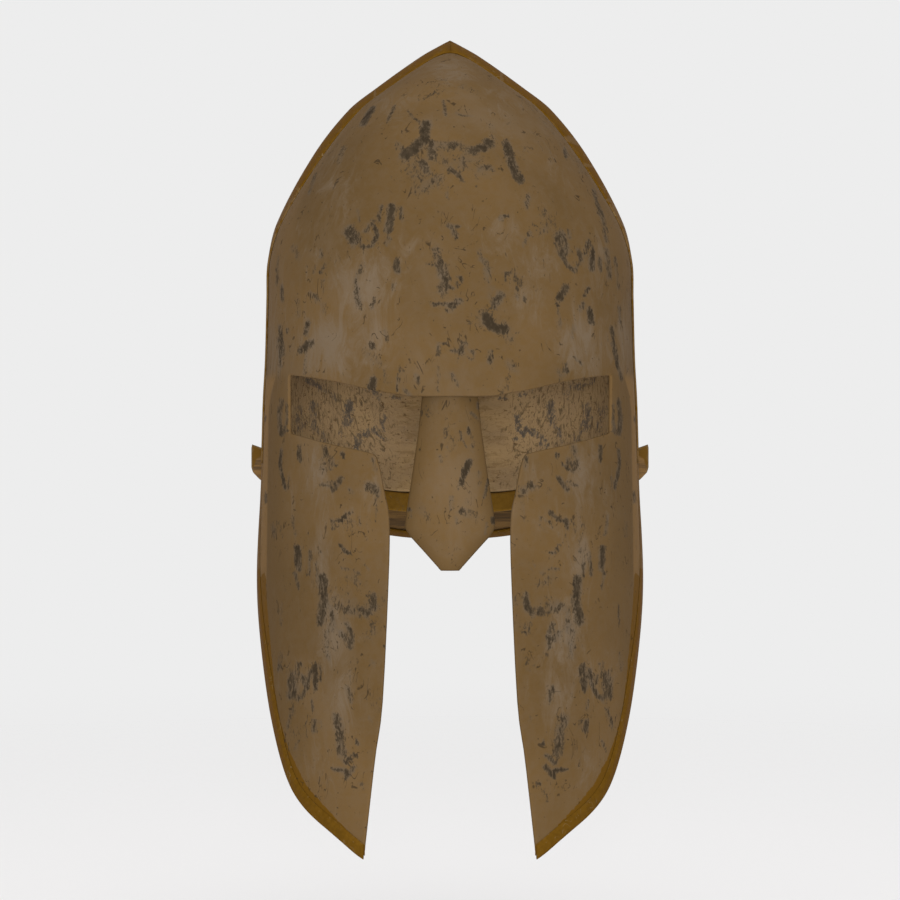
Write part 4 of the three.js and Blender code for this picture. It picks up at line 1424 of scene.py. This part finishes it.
def side_cut(*runs: Array | Sequence[Pair], closed: bool = False, keep_left: bool = True) -> Cut:
    """A cut along runs of points seen from the side."""
    return Cut(Outline(np.vstack(runs), closed, keep_left), FlatView.SIDE)


CHEEK_CUT = side_cut(
    [(-0.2, FAR)], through(CHEEK_REAR, 30), [(CHEEK_REAR[-1][0] - 1, TIP), (-FAR, TIP)], keep_left=False
)
REAR_CUT = side_cut([(0.2, FAR)], rear_run(0.2, 0), [(FAR, NAPE_HEIGHT)])
LINING_CUT = side_cut(rounded(np.vstack([
    [(-FAR, -84), (-74, -84), (-16, EAR_HEIGHT + LINING_ABOVE)],
    rear_run(3, LINING_ABOVE), [(FAR, NAPE_HEIGHT + LINING_ABOVE)],
]), 6))
BAND_CUT = side_cut(
    rear_run(3, 0), [(FAR, NAPE_HEIGHT), (FAR, NAPE_HEIGHT + BAND_HEIGHT)],
    rear_run(3, BAND_HEIGHT)[::-1], closed=True,
)


def painted_edge(points: Array) -> Array:
    """Where the ochre runs from the edging onto the cheek guards.

    Args:
        points: Points in millimetres.

    Returns:
        1 where it is painted and 0 elsewhere.
    """
    border = np.array(PAINTED_FROM)
    beyond = np.abs(points[:, 0]) - np.interp(-points[:, 2], -border[:, 0], border[:, 1])
    below = smoothstep(-185.2, -187.2, points[:, 2] + 0.25 * (points[:, 1] + 50))
    return smoothstep(-1.6, 1.3, beyond) * below


# ---- Pieces that lie on the bowl ----


@dataclass(frozen=True)
class Sheet:
    """A sheet on an offset of the bowl, cut to outlines and with its edges rounded."""

    node: str
    slot: Slot
    cuts: tuple[Cut, ...]
    angles: tuple[float, float, int]
    rows: int
    bottom: float
    offset: float = 0.0
    thickness: float = SHEET
    rounding: float = 0.8
    dents: tuple[tuple[float, float, int], ...] = ()
    calm: Pair = (8.0, 20.0)

    def field(self, angle: Array, down: Array) -> Array:
        """How far inside every cut each place is."""
        return np.min([cut.field(angle, down) for cut in self.cuts], axis=0)

    def patch(self) -> Patch:
        """The sheet's faces, cut to its outlines, with rows along the edge to round it.

        Returns:
            The patch.
        """
        start, end, count = self.angles
        lowest = float(BOWL.down_at(self.bottom))
        patch = Patch.grid(np.linspace(start, end, count), np.linspace(0, lowest, self.rows))
        for cut in self.cuts:
            patch.split(cut.field, 0.0, keep_low=False)
        for level in EDGE_LEVELS:
            patch.split(self.field, level * self.rounding, keep_low=True)
        return patch

    def build(self, material: Material, masks: Callable[[Array, Array], Masks]) -> Piece:
        """Builds the sheet.

        Args:
            material: Its material.
            masks: Gives the values that the material reads, from points and edge distances.

        Returns:
            The sheet's piece.
        """
        patch = self.patch()
        angle, down = np.array(patch.angle), np.array(patch.down)
        distance = np.maximum(self.field(angle, down), 0)
        points, normals = BOWL.point(angle, down), BOWL.normal(angle, down)
        half = edge_thickness(distance, self.thickness, self.rounding)
        sink = np.zeros(len(points))
        for size, reach, seed in self.dents:
            sink += (hammered(points, size, 1.0, seed) - 1) * 0.5 * reach
        sink *= smoothstep(*self.calm, distance)
        middle = self.offset - self.thickness / 2 + sink
        outer = points + normals * (middle + half)[:, None]
        inner = points + normals * (middle - half)[:, None]
        count = len(points)
        faces = [*patch.faces, *[[i + count for i in face[::-1]] for face in patch.faces]]
        faces += [[b, a, a + count, b + count] for a, b in patch.rim()]
        everything = np.vstack([outer, inner])
        values = masks(everything, np.tile(distance, 2))
        return make_piece(self.node, material, everything, faces, values)


@dataclass(frozen=True)
class Shells:
    """The front shell, with its T-shaped opening, and the rear shell."""

    front: Sheet = Sheet(
        "front_shell", Slot.BRONZE,
        cuts=(CHEEK_CUT, Cut(face_opening(), FlatView.FRONT)),
        angles=(-91.5, 91.5, 196), rows=236, bottom=-307.4,
        dents=((26, 0.22, 11), (60, 0.18, 12)),
    )
    rear: Sheet = Sheet(
        "rear_shell", Slot.BRONZE,
        cuts=(REAR_CUT,), angles=(88.5, 271.5, 142), rows=112, bottom=-165.5,
        dents=((26, 0.22, 21), (60, 0.18, 22)), calm=(12.0, 22.0),
    )
    edge: float = 2.4
    slot_end: float = 71.5
    sill: float = -121.0
    # The line between the painted light on the flanks and the painted shade inside it: how far down, then
    # how far across.
    crease: tuple[tuple[float, ...], tuple[float, ...]] = ((97, 105, 114, 200), (79.4, 82.4, 83.8, 84.0))
    scuffs: int = 150
    patches: int = 16

    def build(self, bronze: Material) -> list[Piece]:
        """Builds both shells."""
        return [self.front.build(bronze, self._front_masks), self.rear.build(bronze, self._rear_masks)]

    def _front_masks(self, points: Array, distance: Array) -> Masks:
        """The edge, the marks, the haze, the painted light on the flanks and the painted shade inside the
        creases of the front shell.

        Args:
            points: Its points.
            distance: How far each is from the edge.

        Returns:
            The values by name.
        """
        across, height = points[:, 0], points[:, 2]
        away = np.abs(across)
        beside = (away > self.slot_end) | (height < self.sill)
        places, mirrored = np.stack([across, height], 1), np.stack([away, height], 1)
        middle, cheeks = stroke_density(places, FOREHEAD_STROKES), stroke_density(mirrored, CHEEK_STROKES)
        pale, sides = haze_density(places, FOREHEAD_HAZE), haze_density(mirrored, CHEEK_HAZE)
        crease, above = np.interp(-height, *self.crease), smoothstep(-126, -120, height)
        upright = smoothstep(-94, -100, height) * smoothstep(-196, -184, height)
        return {
            "edge": 1 - smoothstep(0, self.edge, distance),
            "scuff": np.maximum(middle, cheeks * beside),
            "haze": np.maximum(pale, sides * beside),
            # Painted light on the flanks outside the creases, and painted shade just inside them.
            "flank": smoothstep(-0.5, 0.5, away - crease) * upright,
            "shade": smoothstep(14, 0, crease - away) * (away < crease) * upright,
            "ochre": painted_edge(points),
            # Painted highlight along the edges, stronger at the outer ends of the eye slots.
            "bright_lip": 0.08 + 0.2 * smoothstep(68, self.slot_end, away) * above,
        }

    def _rear_masks(self, points: Array, distance: Array) -> Masks:
        """The edge, the scattered marks, the haze and the painted highlight along the edges of the rear
        shell.

        Args:
            points: Its points.
            distance: How far each is from the edge.

        Returns:
            The values by name.
        """
        density = stroke_density(points, scattered_strokes(self.scuffs, 7, (95, 265), (0.06, 0.6)))
        rng = np.random.default_rng(8)
        haze = np.zeros(len(points))
        for _ in range(self.patches):
            middle = BOWL.point(rng.uniform(95, 265), rng.uniform(0.1, 0.6))
            gap = np.linalg.norm(points - middle, axis=1) / rng.uniform(9, 18)
            haze = np.maximum(haze, rng.uniform(0.5, 1.0) * np.exp(-0.9 * gap**2))
        # Painted highlight along the rear shell's edges.
        edge, edge_highlight = 1 - smoothstep(0, self.edge, distance), np.full(len(points), 0.2)
        return {"edge": edge, "scuff": density, "haze": haze, "bright_lip": edge_highlight}


@dataclass(frozen=True)
class Inside:
    """The hide lining and the ochre band round the nape."""

    lining: Sheet = Sheet(
        "lining", Slot.LINING,
        cuts=(LINING_CUT,), angles=(-180, 180, 150), rows=104, bottom=-156,
        offset=-SHEET - 0.6, thickness=2.5, rounding=1.1,
        dents=((18, 0.5, 31), (7, 0.35, 32)), calm=(1.0, 5.0),
    )
    band: Sheet = Sheet(
        "nape_band", Slot.OCHRE,
        cuts=(BAND_CUT,), angles=(86, 274, 150), rows=150, bottom=-165,
        offset=-SHEET - GAP, thickness=1.5, rounding=0.6,
    )
    scuffs: int = 90

    def build(self, hide: Material, painted_light: Material) -> list[Piece]:
        """Builds both."""
        return [self.lining.build(hide, self._lining_masks), self.band.build(painted_light, self._band_masks)]

    def _lining_masks(self, points: Array, distance: Array) -> Masks:
        """Pale in the middle of the back, and dark fibrous patches to both sides of it.

        Args:
            points: Its points.
            distance: How far each is from the edge; not used.

        Returns:
            The values by name.
        """
        away = np.abs(points[:, 0])
        density = stroke_density(np.stack([-away, points[:, 2]], 1), LINING_STROKES) * (points[:, 1] > 0)
        crown = stroke_density(points, scattered_strokes(self.scuffs, 9, (-180, 180), (0.08, 0.36)))
        return {"side": smoothstep(20, 40, away), "scuff": np.maximum(density, crown)}

    @staticmethod
    def _band_masks(points: Array, distance: Array) -> Masks:
        """The band's edge, and how rubbed it is."""
        return {"edge": 1 - smoothstep(0, 2.5, distance), "rub": np.full(len(points), 0.15)}


# ---- The crown band and the folded edging ----


@dataclass(frozen=True)
class CrownBand:
    """The raised band from ear to ear over the crown."""

    half_width: float = 9.0
    foot: float = 1.0
    bottom: float = -137.0
    ease: float = 1.25
    roof: float = 1.5
    shoulder: float = 0.94
    shoulder_drop: float = 0.4
    steps: int = 150
    across: int = 26
    step: float = 0.002

    def base(self, depth: float, share: Array) -> tuple[Array, Array, Array]:
        """Where the upright plane at this depth cuts the bowl.

        Args:
            depth: The plane's depth.
            share: How far down from the crown to the ear, from 0 to 1.

        Returns:
            How far across, how high and how far the band stands off there.
        """
        name = "rear" if depth > 0 else "front"
        limit = float(BOWL.down_at(self.bottom))
        column = np.maximum.accumulate(BOWL.columns[name])
        start = float(np.interp(abs(depth), column, BOWL.down)) if depth else 0.0
        down = start + (limit - start) * share
        reach = np.minimum(abs(depth) / np.maximum(BOWL.column(name, down), 1e-6), 1)
        across = BOWL.column("half_width", down) * (1 - reach**BOWL.power) ** (1 / BOWL.power)
        return across, BOWL.column("height", down), BOWL.column("rise", down)

    def line(self, depth: float, side: Array, lift: Callable[[Array], Array]) -> Array:
        """One line along the band, at one depth and raised off the bowl.

        Args:
            depth: The line's depth.
            side: Places from -1 at one ear to 1 at the other.
            lift: The height off the bowl, from how far the band stands off.

        Returns:
            The line's points.
        """
        share = np.abs(side)
        across, height, rise = self.base(depth, share)
        above = self.base(depth, np.maximum(share - self.step, 0))
        below = self.base(depth, np.minimum(share + self.step, 1))
        run, fall = below[0] - above[0], below[1] - above[1]
        length = np.hypot(run, fall)
        run, fall, up = run / length, fall / length, lift(rise)
        tip = share < self.step
        x = np.where(tip, 0, np.sign(side) * (across - fall * up))
        z = np.where(tip, height + up / np.maximum(run, 0.5), height + run * up)
        return np.stack([x, np.full_like(x, depth), z], 1)

    def top(self, place: float, rise: Array) -> Array:
        """The roof's height over the bowl.

        Args:
            place: From -1 at the front border to 1 at the rear one.
            rise: How far the band stands off.

        Returns:
            The height.
        """
        beyond = max(abs(place) - self.shoulder, 0) / (1 - self.shoulder)
        cut = self.shoulder_drop * (1 - math.sqrt(1 - beyond**2 * 0.999))
        foot = np.minimum(self.foot, rise)
        return foot + (rise - foot) * (1 - abs(place) ** self.roof) + GAP - cut

    def build(self, ochre: Material) -> Piece:
        """Builds the band.

        Args:
            ochre: Its material.

        Returns:
            Its piece.
        """
        side = np.linspace(-1, 1, 2 * self.steps + 1)
        side = np.sign(side) * np.abs(side) ** self.ease
        spread = np.sin(np.linspace(-0.5, 0.5, self.across + 1) * math.pi)
        roof = [self.line(u * self.half_width, side, partial(self.top, u)) for u in spread]
        seat = [
            self.line(u * self.half_width, side, lambda rise: np.full_like(rise, SEAT))
            for u in spread[::-1][1:-1:2]
        ]
        edge = [*np.abs(spread), *np.ones(len(seat))]
        points = np.stack(roof + seat, 1).reshape(-1, 3)
        low = smoothstep(4, -16, points[:, 2])
        masks = {
            "edge": smoothstep(0.72, 1.0, np.tile(edge, len(side))),
            "rub": 0.22 + 0.28 * low + haze_density(points[:, [0, 2]], CROWN_BREAKS),
        }
        faces = ring_faces(len(side), len(edge))
        return make_piece("crown_band", ochre, points, faces, masks)


@dataclass(frozen=True)
class CheekTrim:
    """The edging folded over the rear edge of one cheek guard."""

    side: float
    node: str
    width: float = 8.0
    tip_width: float = 4.8
    rise: float = 0.9
    top: float = -137.8
    overlap: float = 1.5
    narrowing: Pair = (-235, -285)
    steps: int = 220

    def profile(self) -> Array:
        """The folded section.

        Returns:
            How far in from the edge and how far off the bowl each corner is.
        """
        out, fold, under = GAP + self.rise, -GAP - self.rise, -SHEET - GAP
        corners = np.array([
            (self.width, SEAT), (self.width, SEAT + 0.12), (self.width - 3, out - 0.1), (fold, out),
            (fold, under - self.rise), (self.width, under - self.rise), (self.width, under),
            (-GAP, under), (-GAP, SEAT),
        ])
        roundings = (0.05, 0.05, 0.8, 0.85, 0.85, 0.3, 0.3, 0.2, 0.2)
        ring: list[Array] = []
        for i, (here, reach) in enumerate(zip(corners, roundings)):
            before, after = corners[i - 1], corners[(i + 1) % len(corners)]
            gap = np.linalg.norm(after - here)
            into, away = (here - before) / np.linalg.norm(here - before), (after - here) / gap
            first, last = here - into * reach, here + away * reach
            ring += curve(first, here, last, np.linspace(0, 1, 4))
            if gap > 4:
                end = after - away * roundings[(i + 1) % len(corners)]
                ring += [last + (end - last) * s for s in (0.2, 0.4, 0.6, 0.8)]
        return np.array(ring)

    def build(self, ochre: Material) -> Piece:
        """Builds the edging.

        Args:
            ochre: Its material.

        Returns:
            Its piece.
        """
        run = through(CHEEK_REAR, self.steps)
        run = run[run[:, 1] < self.top]
        down = BOWL.down_at(run[:, 1])
        angle = BOWL.angle_at_depth(run[:, 0], down, self.side)
        edge = BOWL.point(angle, down)
        shown = np.abs(edge[:, 0]) > self._limit(edge[:, 2]) - self.overlap
        angle, down, edge = angle[shown], down[shown], edge[shown]
        inward = np.cross(np.gradient(edge, axis=0), BOWL.normal(angle, down))
        inward /= np.linalg.norm(inward, axis=1, keepdims=True) * -np.sign(inward[:, 1].sum())
        reach = self.width + (self.tip_width - self.width) * smoothstep(*self.narrowing, edge[:, 2])
        ring = self.profile()
        rows = []
        for across, lift in ring:
            room = np.where(across > 0, reach * (across / self.width), across)
            there = BOWL.slide(angle, down, inward * room[:, None])
            points = BOWL.point(*there) + BOWL.normal(*there) * lift
            points[:, 0] = self.side * np.maximum(np.abs(points[:, 0]), self._limit(points[:, 2]))
            rows.append(points)
        points = np.stack(rows, 1).reshape(-1, 3)
        border = np.abs(ring[:, 0] / self.width - 0.4) / 0.6
        masks = {
            "edge": smoothstep(0.7, 1.0, np.tile(border, len(edge))),
            "rub": 0.22 + 0.6 * smoothstep(-188, -184, points[:, 2] + 0.25 * (points[:, 1] + 30)),
        }
        return make_piece(self.node, ochre, points, ring_faces(len(edge), len(ring)), masks)

    @staticmethod
    def _limit(height: Array) -> Array:
        """How near the middle the edging can come at these heights: the face opening's edge."""
        edge = through(CHEEK_FRONT, 60)
        return np.interp(-height, -edge[:, 1], edge[:, 0]) + 0.1


# ---- The neck guard and the nose guard ----


@dataclass(frozen=True)
class GuardSection:
    """A section of the neck guard: how far out and how high its top, its bend and its rim are."""

    out: tuple[float, float, float]
    height: tuple[float, float, float]


@dataclass(frozen=True)
class Lug:
    """The plate that closes the neck guard's end below one ear."""

    inner: float = 89.5
    outer: tuple[tuple[float, ...], tuple[float, ...]] = (
        (0, 0.1, 0.74, 0.9, 1), (95.8, 96.18, 96.18, 95.4, 93.8),
    )
    depth: float = 10.15
    thickness: float = 1.7
    rounding: float = 0.5
    width: float = 5.6
    length: float = 15.0
    top: float = -130.5
    top_slope: float = 2.2
    bottom: float = -146.3
    bottom_slope: float = 2.9
    strip: float = 2.1
    drop: float = 15.2
    lap: float = 1.9
    lap_slope: float = 6.4

    def build(self, side: int) -> tuple[Array, Faces, Masks]:
        """Works out the plate.

        Args:
            side: 1 for the side with +X and -1 for the other.

        Returns:
            Its points, its faces and its masks.
        """
        edge = np.array([0, 0.02, 0.05, 0.1])
        u, v = np.meshgrid(
            np.concatenate([edge, np.linspace(0.16, 0.84, 12), 1 - edge[::-1]]),
            np.concatenate([edge * 0.4, np.linspace(0.07, 0.93, 22), 1 - edge[::-1] * 0.4]),
        )
        outer = np.interp(v, *self.outer)
        x = self.inner + (outer - self.inner) * u
        top, bottom = self.top + self.top_slope * u, self.bottom + self.bottom_slope * u**2
        inset = np.minimum(np.minimum(u, 1 - u) * self.width, np.minimum(v, 1 - v) * self.length)
        half = edge_thickness(inset, self.thickness, self.rounding)
        border = smoothstep(0.2, -0.2, outer - x - self.strip * smoothstep(0.95, 0.4, v))
        lap = smoothstep(0.3, -0.3, v * self.drop - self.lap - self.lap_slope * u)
        masks = {
            "edge": np.tile((1 - smoothstep(0, 1.5, inset)).ravel(), 2),
            "inside": np.ones(2 * u.size),
            "scuff": np.zeros(2 * u.size),
            "ochre": np.tile(np.maximum(border, lap).ravel(), 2),
        }
        middle = np.stack([side * x, np.full_like(x, self.depth), top + (bottom - top) * v], -1)
        return both_sides(middle, half[..., None] * [0, 1, 0]), sheet_faces(*u.shape), masks


@dataclass(frozen=True)
class NeckGuard:
    """The flared guard round the nape and the edging folded over its rim."""

    ear: GuardSection = GuardSection(out=(0.9, 5.6, 3.8), height=(-130.6, -125.5, -140.5))
    nape: GuardSection = GuardSection(out=(0.9, 2.5, 21.0), height=(-155.0, -170.0, -177.0))
    ear_shift: tuple[float, float, float] = (-2.6, -2.6, 1.6)
    thickness: float = 2.0
    end: float = 84.5
    shifted: Pair = (66, 82)
    wave: float = 0.12
    rounding: float = 0.9
    length: float = 22.0
    girth: float = 290.0
    around: int = 220
    along: int = 26
    lug: Lug = Lug()
    trim_rise: float = 0.9
    trim_from: float = 0.84
    trim_past: float = 0.07
    trim_clear: float = 0.02

    def point(self, angle: Array, share: Array) -> Array:
        """Points of the inner face.

        Args:
            angle: Degrees from the nape, 0, toward the ears.
            share: From 0 at the lap to 1 at the rim.

        Returns:
            The points.
        """
        nape = np.maximum(np.cos(np.radians(angle)), 0) ** 2
        ending = smoothstep(*self.shifted, np.abs(angle))

        def blend(at_ear: Sequence[Array], at_nape: Sequence[float]) -> Array:
            """A curve of three points between the two sections."""
            top, bend, rim = (a + (b - a) * nape for a, b in zip(at_ear, at_nape))
            return top * (1 - share) ** 2 + 2 * bend * share * (1 - share) + rim * share**2

        out = np.maximum(blend(self.ear.out, self.nape.out), GAP + 0.1)
        shifted = [height + shift * ending for height, shift in zip(self.ear.height, self.ear_shift)]
        height = blend(shifted, self.nape.height)
        down = BOWL.down_at(height)
        outward = BOWL.normal(180 - angle, down) * [1, 1, 0]
        outward /= np.linalg.norm(outward, axis=-1, keepdims=True)
        point = BOWL.point(180 - angle, down) + outward * out[..., None]
        point[..., 2] = height
        return point

    def normal(self, angle: Array, share: Array) -> Array:
        """Outward directions of the inner face.

        Args:
            angle: Degrees from the nape, 0, toward the ears.
            share: From 0 at the lap to 1 at the rim.

        Returns:
            The directions.
        """
        around = self.point(angle + 1, share) - self.point(angle - 1, share)
        along = self.point(angle, share + 0.02) - self.point(angle, share - 0.02)
        normal = np.cross(around, along)
        return normal / np.linalg.norm(normal, axis=-1, keepdims=True)

    def build_sheet(self, metal: Material) -> Piece:
        """Builds the guard itself, with its lugs.

        Args:
            metal: Its material.

        Returns:
            Its piece.
        """
        near = np.array([0, 0.0035, 0.009, 0.016, 0.026])
        u = np.concatenate([near * 0.4, np.linspace(0.016, 0.984, self.around), 1 - near[::-1] * 0.4])
        v = np.concatenate([near, np.linspace(0.045, 0.955, self.along), 1 - near[::-1]])
        angle, share = np.meshgrid(self.end * (2 * u - 1), v)
        inset = np.minimum(np.minimum(share, 1 - share) * self.length, np.minimum(u, 1 - u) * self.girth)
        half = edge_thickness(inset, self.thickness, self.rounding)
        wave = np.sin(np.radians(angle) * 9 + 1.3) * self.wave * smoothstep(2, 8, inset)
        normal = self.normal(angle, share)
        middle = self.point(angle, share) + normal * (self.thickness / 2 + wave)[..., None]
        points, faces = both_sides(middle, normal * half[..., None]), sheet_faces(*share.shape)
        masks = {
            "edge": 1 - smoothstep(0, 4, np.tile(inset.ravel(), 2)),
            "inside": np.repeat([1.0, 0.0], share.size),
            "scuff": np.zeros(len(points)),
            "ochre": np.zeros(len(points)),
        }
        for side in (-1, 1):
            more, own, values = self.lug.build(side)
            faces += [[i + len(points) for i in face] for face in own]
            points = np.vstack([points, more])
            masks = {name: np.concatenate([masks[name], values[name]]) for name in masks}
        return make_piece("neck_guard", metal, points, faces, masks)

    def _folded(self) -> Array:
        """The edging's closed section.

        Returns:
            Each corner's share along the guard and distance off its inner face.
        """
        low, high = -GAP - self.trim_rise, self.thickness + GAP + self.trim_rise
        top, tip, clear = self.trim_from, 1 + self.trim_past, 1 + self.trim_clear
        return np.array([
            (top, -GAP), (top, low + 0.3), (top + 0.012, low), (tip - 0.035, low),
            (tip - 0.012, low + 0.25), (tip, low + 0.9), (tip, high - 0.9), (tip - 0.012, high - 0.25),
            (tip - 0.035, high), (top + 0.012, high), (top, high - 0.3), (top, self.thickness + GAP),
            (clear - 0.006, self.thickness + GAP), (clear, self.thickness), (clear, 0.0),
            (clear - 0.006, -GAP),
        ])

    def build_trim(self, ochre: Material) -> Piece:
        """Builds the edging over the rim.

        Args:
            ochre: Its material.

        Returns:
            Its piece.
        """
        ring: list[Array] = []
        section = self._folded()
        for a, b in zip(section, np.roll(section, -1, axis=0)):
            steps = 4 if abs(a[0] - b[0]) > 0.08 else 1
            ring += [a + (b - a) * s / steps for s in range(steps)]
        limit = self.end - 0.1
        angles = np.linspace(-limit, limit, self.around + 60)
        share, angle = np.meshgrid(np.array(ring)[:, 0], angles)
        distance = np.array(ring)[:, 1][:, None]
        points = (self.point(angle, share) + self.normal(angle, share) * distance).reshape(-1, 3)
        masks = {"edge": np.full(len(points), 0.5), "rub": np.full(len(points), 0.25)}
        faces = ring_faces(len(angles), len(ring))
        return make_piece("neck_guard_trim", ochre, points, faces, masks)


@dataclass(frozen=True)
class NasalRow:
    """One row of the nose guard: half its width, its front's depth and how far its sides fall back."""

    height: float
    half_width: float
    depth: float
    crown: float


@dataclass(frozen=True)
class Nasal:
    """The convex nose guard, from behind the brow to its tip."""

    rows: tuple[NasalRow, ...] = tuple(NasalRow(*row) for row in (
        (-96, 11.6, -109.3, 5.0), (-108, 12.2, -110.2, 5.4), (-122, 13.6, -114.5, 6.0),
        (-142, 16.4, -118, 7.0), (-160, 19.2, -120, 8.0), (-164.5, 19.6, -120.2, 8.0),
        (-168, 17.4, -120.2, 6.6), (-175, 10.9, -119.6, 3.2), (-182.8, 3.9, -118.6, 0.7),
    ))
    thickness: float = 2.4
    rounding: float = 1.0
    steps: int = 150
    across: int = 44

    def build(self, bronze: Material) -> Piece:
        """Builds the guard.

        Args:
            bronze: Its material.

        Returns:
            Its piece.
        """
        first, last = self.rows[0].height, self.rows[-1].height
        end = np.array([0, 0.12, 0.3, 0.55, 0.9])
        between = np.linspace(first - 1.6, last + 1.6, self.steps)
        z = np.concatenate([first - end, between, last + end[::-1]])
        depth, crown = self._column("depth", z, 9), self._column("crown", z, 9)
        half = self._column("half_width", z, 3)
        side, height = np.meshgrid(np.sin(np.linspace(-0.5, 0.5, self.across + 1) * math.pi), z)
        ends = np.minimum(first - z, z - last)[:, None]
        inset = np.minimum((1 - np.abs(side)) * half[:, None], ends)
        reach = edge_thickness(inset, self.thickness, self.rounding)
        y = depth[:, None] + crown[:, None] * side**2 + self.thickness / 2
        middle = np.stack([side * half[:, None], y, height], -1)
        points = both_sides(middle, reach[..., None] * [0, 1, 0])
        distance = np.tile(inset.ravel(), 2)
        masks = {
            "edge": 1 - smoothstep(0, 2.4, distance),
            "scuff": stroke_density(points[:, [0, 2]], NASAL_STROKES),
            # Painted shade, darker toward the guard's sides and ends as on a rounded surface.
            "shade": smoothstep(6.5, 0.8, distance),
        }
        return make_piece("nasal", bronze, points, sheet_faces(*side.shape), masks)

    def _column(self, name: str, height: Array, window: int) -> Array:
        """One size of the guard at these heights, softened by a running average.

        Args:
            name: The size's name in the rows.
            height: The heights.
            window: How many values each average takes.

        Returns:
            The size at each height, with both ends kept.
        """
        table = np.array([(row.height, getattr(row, name)) for row in self.rows])
        values = np.interp(-height, -table[:, 0], table[:, 1])
        half = window // 2
        padded = np.concatenate([np.full(half, values[0]), values, np.full(half, values[-1])])
        return np.convolve(padded, np.ones(window) / window, mode="valid")


# ---- Stage ----


@dataclass(frozen=True)
class Lamp:
    """A soft round light aimed at a point."""

    name: str
    place: tuple[float, float, float]
    aim: tuple[float, float, float]
    size: float
    power: float

    def build(self) -> None:
        """Builds the light."""
        light = bpy.data.lights.new(self.name, "AREA")
        light.shape = "DISK"
        light.size = self.size
        light.energy = self.power
        lamp = placed(self.name, light)
        lamp.location = self.place
        way = Vector(self.aim) - Vector(self.place)
        lamp.rotation_euler = way.to_track_quat("-Z", "Y").to_euler()
        lamp.visible_camera = False


@dataclass(frozen=True)
class Stage:
    """The pale backdrop, the floor, the lights and the camera."""

    backdrop: Colour = srgb(237, 237, 237)
    ground: Colour = srgb(240, 239, 239)
    floor_height: float = -0.395
    floor_reach: float = 3.0
    floor_corners: int = 96
    floor_fade: Pair = (0.5, 1.6)
    lens: float = 91.67
    sensor: float = 36.0
    nearest: float = 0.01
    camera_place: tuple[float, float, float] = (0.0, -1.1, -0.131)
    lamps: tuple[Lamp, ...] = (
        Lamp("front_soft", (0.0, -2.0, -0.12), (0, 0, -0.12), 0.5, 30),
        Lamp("top_soft", (0.1, -0.3, 1.5), (0, 0, 0), 1.2, 5),
    )

    def build(self) -> None:
        """Builds the whole stage."""
        bpy.context.scene.view_settings.view_transform = "Standard"
        self._world()
        self._floor()
        for lamp in self.lamps:
            lamp.build()
        self._camera()

    def _world(self) -> None:
        """A plain pale world."""
        world = bpy.data.worlds.new("pale_world")
        world.use_nodes = True
        bpy.context.scene.world = world
        graph = Graph(world.node_tree)
        shade = graph.node("Background", {"Color": self.backdrop, "Strength": 1.0})
        graph.node("OutputWorld", {"Surface": graph.out(shade)})

    def _floor(self) -> None:
        """A floor that fades out with distance and is clear from below."""
        mesh = bpy.data.meshes.new("floor")
        turns = [2 * math.pi * i / self.floor_corners for i in range(self.floor_corners)]
        reach = self.floor_reach
        ring = [(math.cos(t) * reach, math.sin(t) * reach, self.floor_height) for t in turns]
        mesh.from_pydata(ring, [], [list(range(self.floor_corners))])
        floor = placed("floor", mesh)
        material = bpy.data.materials.new("floor_fading")
        material.use_nodes = True
        graph = Graph(material.node_tree)
        place = graph.node("NewGeometry")
        inputs = {0: graph.out(place, "Position")}
        far = graph.out(graph.node("VectorMath", inputs, operation="LENGTH"), "Value")
        clear = far.ramp(*self.floor_fade).most(graph.out(place, "Backfacing"))
        pale, gone = graph.node("BsdfDiffuse", {"Color": self.ground}), graph.node("BsdfTransparent")
        mixed = graph.node("MixShader", {0: clear, 1: graph.out(pale), 2: graph.out(gone)})
        graph.node("OutputMaterial", {"Surface": graph.out(mixed)})
        mesh.materials.append(material)

    def _camera(self) -> None:
        """A level camera that faces the helmet's front."""
        data = bpy.data.cameras.new("camera")
        data.lens = self.lens
        data.sensor_width = self.sensor
        data.clip_start = self.nearest
        camera = placed("camera", data)
        camera.location = self.camera_place
        camera.rotation_euler = (math.pi / 2, 0, 0)
        bpy.context.scene.camera = camera


def main() -> None:
    """Builds every piece in order, and logs each."""
    logging.basicConfig(level=logging.INFO, format="%(name)s: %(message)s")
    effects = Effects()
    bronze = AgedBronze().build(effects)
    ochre = WornOchre().build(effects)
    # A lighter copy of the ochre for the band inside: painted light, making up for the shade inside the
    # helmet.
    painted_light = WornOchre("inner_ochre_painted_light", srgb(132, 98, 38), srgb(120, 88, 32)).build(effects)
    hide = RoughHide().build(effects)
    streaked = StreakedBronze().build(effects)
    guard = NeckGuard()
    pieces = [
        *Shells().build(bronze),
        CrownBand().build(ochre),
        Nasal().build(bronze),
        CheekTrim(side=-1, node="cheek_trim_left").build(ochre),
        CheekTrim(side=1, node="cheek_trim_right").build(ochre),
        guard.build_sheet(streaked),
        guard.build_trim(ochre),
        *Inside().build(hide, painted_light),
    ]
    for piece in pieces:
        LOG.info("%s: %d faces", piece.name, len(piece.data.polygons))
    Stage().build()


if __name__ == "__main__":
    main()
